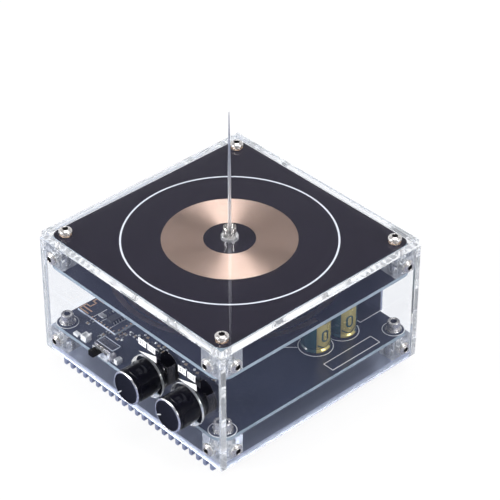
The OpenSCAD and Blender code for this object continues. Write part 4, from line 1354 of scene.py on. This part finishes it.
@dataclass
class Knob:
    """One turned control knob with a sunk face, a groove and a bright ring. It stands `out` millimetres before the
    front wall, and `pointer` is its mark's turn in degrees."""

    name: str
    x: float
    out: float
    pointer: float
    radius: float = 7.5
    length: float = 17.0

    def place(self) -> Matrix:
        """Returns the place of the knob's rear face, its axis to the front, turned to its pointer."""
        rear = -SIZE.case / 2 - self.out + self.length
        return at(self.x, rear, SIZE.knob_z) @ Facing.FRONT.turn() @ about_z(self.pointer)

    def build(self) -> None:
        """Turns the knob and inlays the pointer."""
        r, h = self.radius, self.length
        profile = [(0, 0), (r - 0.45, 0), (r, 0.45), (r, h - 2.5), (r - 0.06, h - 2.4), (r - 0.3, h - 2.2),
                   (r - 0.3, h - 2.1), (r - 0.06, h - 1.9), (r, h - 1.8), (r, h - 0.5)]
        rim = [(r, h - 0.5), (r - 0.06, h - 0.32), (r - 0.5, h - 0.02), (r - 0.62, h), (r - 0.78, h - 0.1)]
        face = [(r - 0.78, h - 0.1), (r - 1.1, h - 0.38), (r - 2.5, h - 0.44), (2.5, h - 0.52), (0, h - 0.54)]
        whole = Blank.turned(profile + rim[1:] + face[1:], steps=120)
        for f in whole.bm.faces:
            middle = f.calc_center_median()
            span = math.hypot(middle.x, middle.y)
            f.material_index = 1 if middle.z > h - 0.5 and span > r - 0.8 else 0
        bore = Blank.turned([(0, -1), (3.04, -1), (3.04, 12.0), (0, 12.0)], steps=48)
        slot = Blank.box((-0.35, r - 3.0, h - 0.75), (0.35, r + 1, h + 1))
        knob = whole.carved(bore, slot)
        line = Blank.box((-0.24, r - 2.6, h - 0.74), (0.24, r - 0.12, h - 0.3), 0.06)
        piece = Piece(f"{self.name}_turned", "knob", [Shelf.knob, Shelf.knob_ring, Shelf.ink], body=self.name,
                      replaces=[self.name])
        piece.add(knob, self.place()).add(line, self.place(), finish=2).done()


@dataclass
class Controls:
    """The knobs, the potentiometers, the slide switch and the supply socket."""

    lug_y: float = -39.15

    def pots(self) -> None:
        """Finishes the potentiometers: their frames and cases stay, and lugs are added."""
        dress("pot_frames", Shelf.sheet, 0.1)
        dress("pot_cases", Shelf.moulded, 0.15)
        for name in ("left_shaft", "right_shaft"):
            dress(name, Shelf.can, 0.1)
        piece = Piece("pot_lugs", "sheet_metal", [Shelf.tin])
        lug = Blank.box((-0.5, -0.15, -1.0), (0.5, 0.15, 2.2), 0.05)
        for x in SIZE.knob_x:
            piece.add(lug, *[at(x + dx, self.lug_y, SIZE.control_top + 1.0) for dx in (-2.5, 0.0, 2.5)])
        piece.done()

    def switch(self) -> None:
        """Finishes the slide switch: its lever gets grip ridges, its shell feet."""
        dress("switch_shell", Shelf.sheet, 0.3, 3)
        dress("switch_base", Shelf.moulded, 0.05)
        lever = Blank.box((-22.9, -58.0, 21.4), (-19.9, -51.4, 24.1), 0.25, 3)
        foot = Blank.box((-23.45, -51.55, 21.15), (-19.35, -48.05, 24.35), 0.15)
        grooves = [Blank.box((-23.4, -57.6 + 1.0 * k, 23.85), (-19.4, -57.15 + 1.0 * k, 25.0)) for k in range(3)]
        tip = [Blank.box((-22.35 + 0.85 * k, -58.4, 21.0), (-21.95 + 0.85 * k, -57.8, 24.6)) for k in range(3)]
        piece = Piece("switch_slider", "lever", [Shelf.lever], body="switch", replaces=["switch_lever"])
        piece.add(lever.carved(*grooves, *tip)).add(foot).done()
        feet = Piece("switch_feet", "sheet_metal", [Shelf.tin])
        foot = Blank.box((-0.7, -0.5, 0.0), (0.7, 0.5, 0.35), 0.06)
        feet.add(foot, *[at(SIZE.switch_x + side, y, SIZE.control_top) for side in (-5.7, 5.7)
                         for y in (-51.0, -48.4)]).done()

    def switch_painted_glint(self) -> None:
        """Paints glints round the top of the switch's shell: thin pale strips in the module-edge finish lie along its
        top edges as a painted highlight of its bent edges.
        """
        rim = Piece("switch_shell_painted_glint", "sheet_metal", [Shelf.module_edge])
        left, right, near, far, wide, top = -24.0, -13.8, -50.9, -46.3, 0.35, 25.47
        for low, high in (((left, near), (right, near + wide)), ((left, far - wide), (right, far)),
                          ((left, near), (left + wide, far)), ((right - wide, near), (right, far))):
            rim.add(Blank.box((*low, top), (*high, top + 0.08)))
        rim.done()

    def supply(self) -> None:
        """Finishes the supply socket and turns its centre pin."""
        dress("supply_socket", Shelf.moulded, 0.25)
        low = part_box("supply_pin")[0]
        pin = Blank.turned([(0, 0), (1.0, 0), (1.0, 8.3), (0.85, 8.7), (0.45, 8.88), (0, 8.9)], steps=28)
        Piece("supply_centre_pin", "contact", [Shelf.nickel], replaces=["supply_pin"]).add(
            pin, at(SIZE.socket_x, low.y / MM, 25.5) @ Facing.BACK.turn()).done()

    def build(self) -> None:
        """Builds the controls."""
        left_x, right_x = SIZE.knob_x
        Knob("left_knob", left_x, 11.0, 135.0).build()
        Knob("right_knob", right_x, 10.0, 117.0).build()
        self.pots()
        self.switch()
        self.switch_painted_glint()
        self.supply()


@dataclass
class HeatSink:
    """The finned heat sink and the power transistors on it."""

    def build(self) -> None:
        """Finishes the solids that stay."""
        dress("heat_sink", Shelf.aluminium)
        dress("thermal_pads", Shelf.silicone, 0.06)
        dress("power_transistors", Shelf.epoxy, 0.1)


# ---- Light, floor and camera ----


@dataclass
class Studio:
    """A pale floor, soft lamps, a plain world and the camera. Light runs along the clear sheets through many inner
    reflections before it leaves by an edge, so the scene allows many bounces."""

    eye: Point = (0.549436, -0.498449, 0.595431)
    target: Point = (0.01158, 0.00048, 0.064)
    lens: float = 161.5
    overhead: float = 0.115
    floor_matt: Colour = (0.82, 0.82, 0.83)
    # Painted reflection: a mirror that sees the floor once gets a blue matt tint and a dark blue glow, and through is
    # the floor's glow above white behind the clear sheets.
    matt_painted_reflection: Colour = (0.5, 0.56, 0.8)
    floor_painted_reflection: Colour = (0.03, 0.04, 0.11)
    glow_share: tuple[float, float] = (0.88, 0.72)
    through: float = 1.15
    backdrop_way: Point = (-0.73, 0.68, 0.0)
    as_light: float = 0.5
    lamp_aim: Point = (0.0, 0.0, 0.04)
    bounces: int = 48
    lamps: tuple[tuple[str, Point, float, float], ...] = (
        ("top_lamp", (0.05, 0.1, 1.2), 0.7, 10.0), ("front_lamp", (-0.55, -1.15, 0.6), 0.55, 20.0),
        ("right_lamp", (1.2, 0.35, 0.65), 0.55, 10.0))

    def floor(self) -> None:
        """Lays the floor: it lights up for the eye and keeps part of the object's shadow. Seen once in a mirror it
        shows a painted reflection, darker and bluer than itself, and through the clear sheets it glows brighter than
        white.
        """
        blank = bmesh.new()
        bmesh.ops.create_grid(blank, x_segments=12, y_segments=12, size=4.0)
        mesh = bpy.data.meshes.new("floor")
        blank.to_mesh(mesh)
        blank.free()
        mesh.transform(Matrix.Translation((0, 0, -0.0002)))
        floor = bpy.data.objects.new("floor", mesh)
        bpy.context.scene.collection.objects.link(floor)
        paint = bpy.data.materials.new("floor_glow_and_painted_reflection")
        paint.use_nodes = True
        paint.node_tree.nodes.clear()
        w = Wiring(paint.node_tree)
        path = w.node("ShaderNodeLightPath")
        seen = w.sum("MAXIMUM", path.outputs["Is Camera Ray"],
                     w.sum("MAXIMUM", path.outputs["Is Glossy Ray"], path.outputs["Is Transmission Ray"]))
        once = w.sum("COMPARE", path.outputs["Glossy Depth"], 1.0, 0.4)
        matt = w.node("ShaderNodeBsdfDiffuse", Color=w.blend(once, self.floor_matt, self.matt_painted_reflection))
        glow = w.node("ShaderNodeEmission", Color=w.blend(once, (1.0, 1.0, 1.0), self.floor_painted_reflection),
                      Strength=w.ramp(path.outputs["Is Transmission Ray"], 1.0, self.through))
        share = w.ramp(once, *self.glow_share)
        both = w.node("ShaderNodeMixShader", Fac=w.sum("MULTIPLY", seen, share))
        w.feed(both.inputs[1], matt.outputs[0])
        w.feed(both.inputs[2], glow.outputs[0])
        w.node("ShaderNodeOutputMaterial", Surface=both.outputs[0])
        mesh.materials.append(paint)

    def world(self) -> None:
        """Sets a plain world: white to the eye, softer as a light, and in mirrors white only low behind the object."""
        world = bpy.data.worlds.new("studio")
        bpy.context.scene.world = world
        world.use_nodes = True
        world.node_tree.nodes.clear()
        w = Wiring(world.node_tree)
        way = w.node("ShaderNodeTexCoord").outputs["Generated"]
        up = w.node("ShaderNodeSeparateXYZ", Vector=way).outputs[2]
        behind = w.node("ShaderNodeVectorMath", {"operation": "DOT_PRODUCT"})
        w.feed(behind.inputs[0], way)
        behind.inputs[1].default_value = self.backdrop_way
        backdrop = w.ramp(behind.outputs["Value"], 0.0, 1.0, -0.25, 0.15)
        overhead = w.ramp(w.sum("MULTIPLY", backdrop, w.ramp(up, 1.0, 0.0, 0.48, 0.55)), self.overhead, 1.0)
        path = w.node("ShaderNodeLightPath")
        mirrored = w.sum("MAXIMUM", path.outputs["Is Glossy Ray"], path.outputs["Is Transmission Ray"])
        lit = w.ramp(mirrored, self.as_light, overhead)
        shown = w.ramp(path.outputs["Is Camera Ray"], lit, 1.0)
        back = w.node("ShaderNodeBackground", Color=(1.0, 1.0, 1.0), Strength=shown)
        w.node("ShaderNodeOutputWorld", Surface=back.outputs[0])

    def lamp(self, name: str, place: Point, size: float, power: float) -> None:
        """Hangs one soft square lamp that shines at the object.

        Args:
            name: Its name.
            place: Where it hangs, in metres.
            size: Its side.
            power: Its power in watts.
        """
        light = bpy.data.lights.new(name, "AREA")
        light.size, light.energy = size, power
        made = bpy.data.objects.new(name, light)
        made.location = place
        made.rotation_euler = (Vector(self.lamp_aim) - Vector(place)).to_track_quat("-Z", "Y").to_euler()
        bpy.context.scene.collection.objects.link(made)

    def camera(self) -> None:
        """Sets the camera at the photograph's angle."""
        data = bpy.data.cameras.new("camera")
        data.lens, data.sensor_width = self.lens, 36.0
        data.clip_start, data.clip_end = 0.05, 20.0
        made = bpy.data.objects.new("camera", data)
        made.location = self.eye
        made.rotation_euler = (Vector(self.target) - Vector(self.eye)).to_track_quat("-Z", "Y").to_euler()
        bpy.context.scene.collection.objects.link(made)
        bpy.context.scene.camera = made

    def build(self) -> None:
        """Sets up the whole studio."""
        scene = bpy.context.scene
        scene.view_settings.view_transform = "Standard"
        scene.cycles.max_bounces = scene.cycles.glossy_bounces = scene.cycles.transmission_bounces = self.bounces
        scene.cycles.transparent_max_bounces = self.bounces // 2
        self.camera()
        self.floor()
        self.world()
        for name, place, size, power in self.lamps:
            self.lamp(name, place, size, power)


def main() -> None:
    """Builds every sub-assembly in order."""
    logging.basicConfig(level=logging.INFO, format="%(name)s: %(message)s")
    for part in (Studio(), HeatSink(), ControlDeck(), Controls(), CoilDeck(), ClearCase(), Fasteners()):
        LOG.info("building %s", type(part).__name__)
        part.build()


if __name__ == "__main__":
    main()
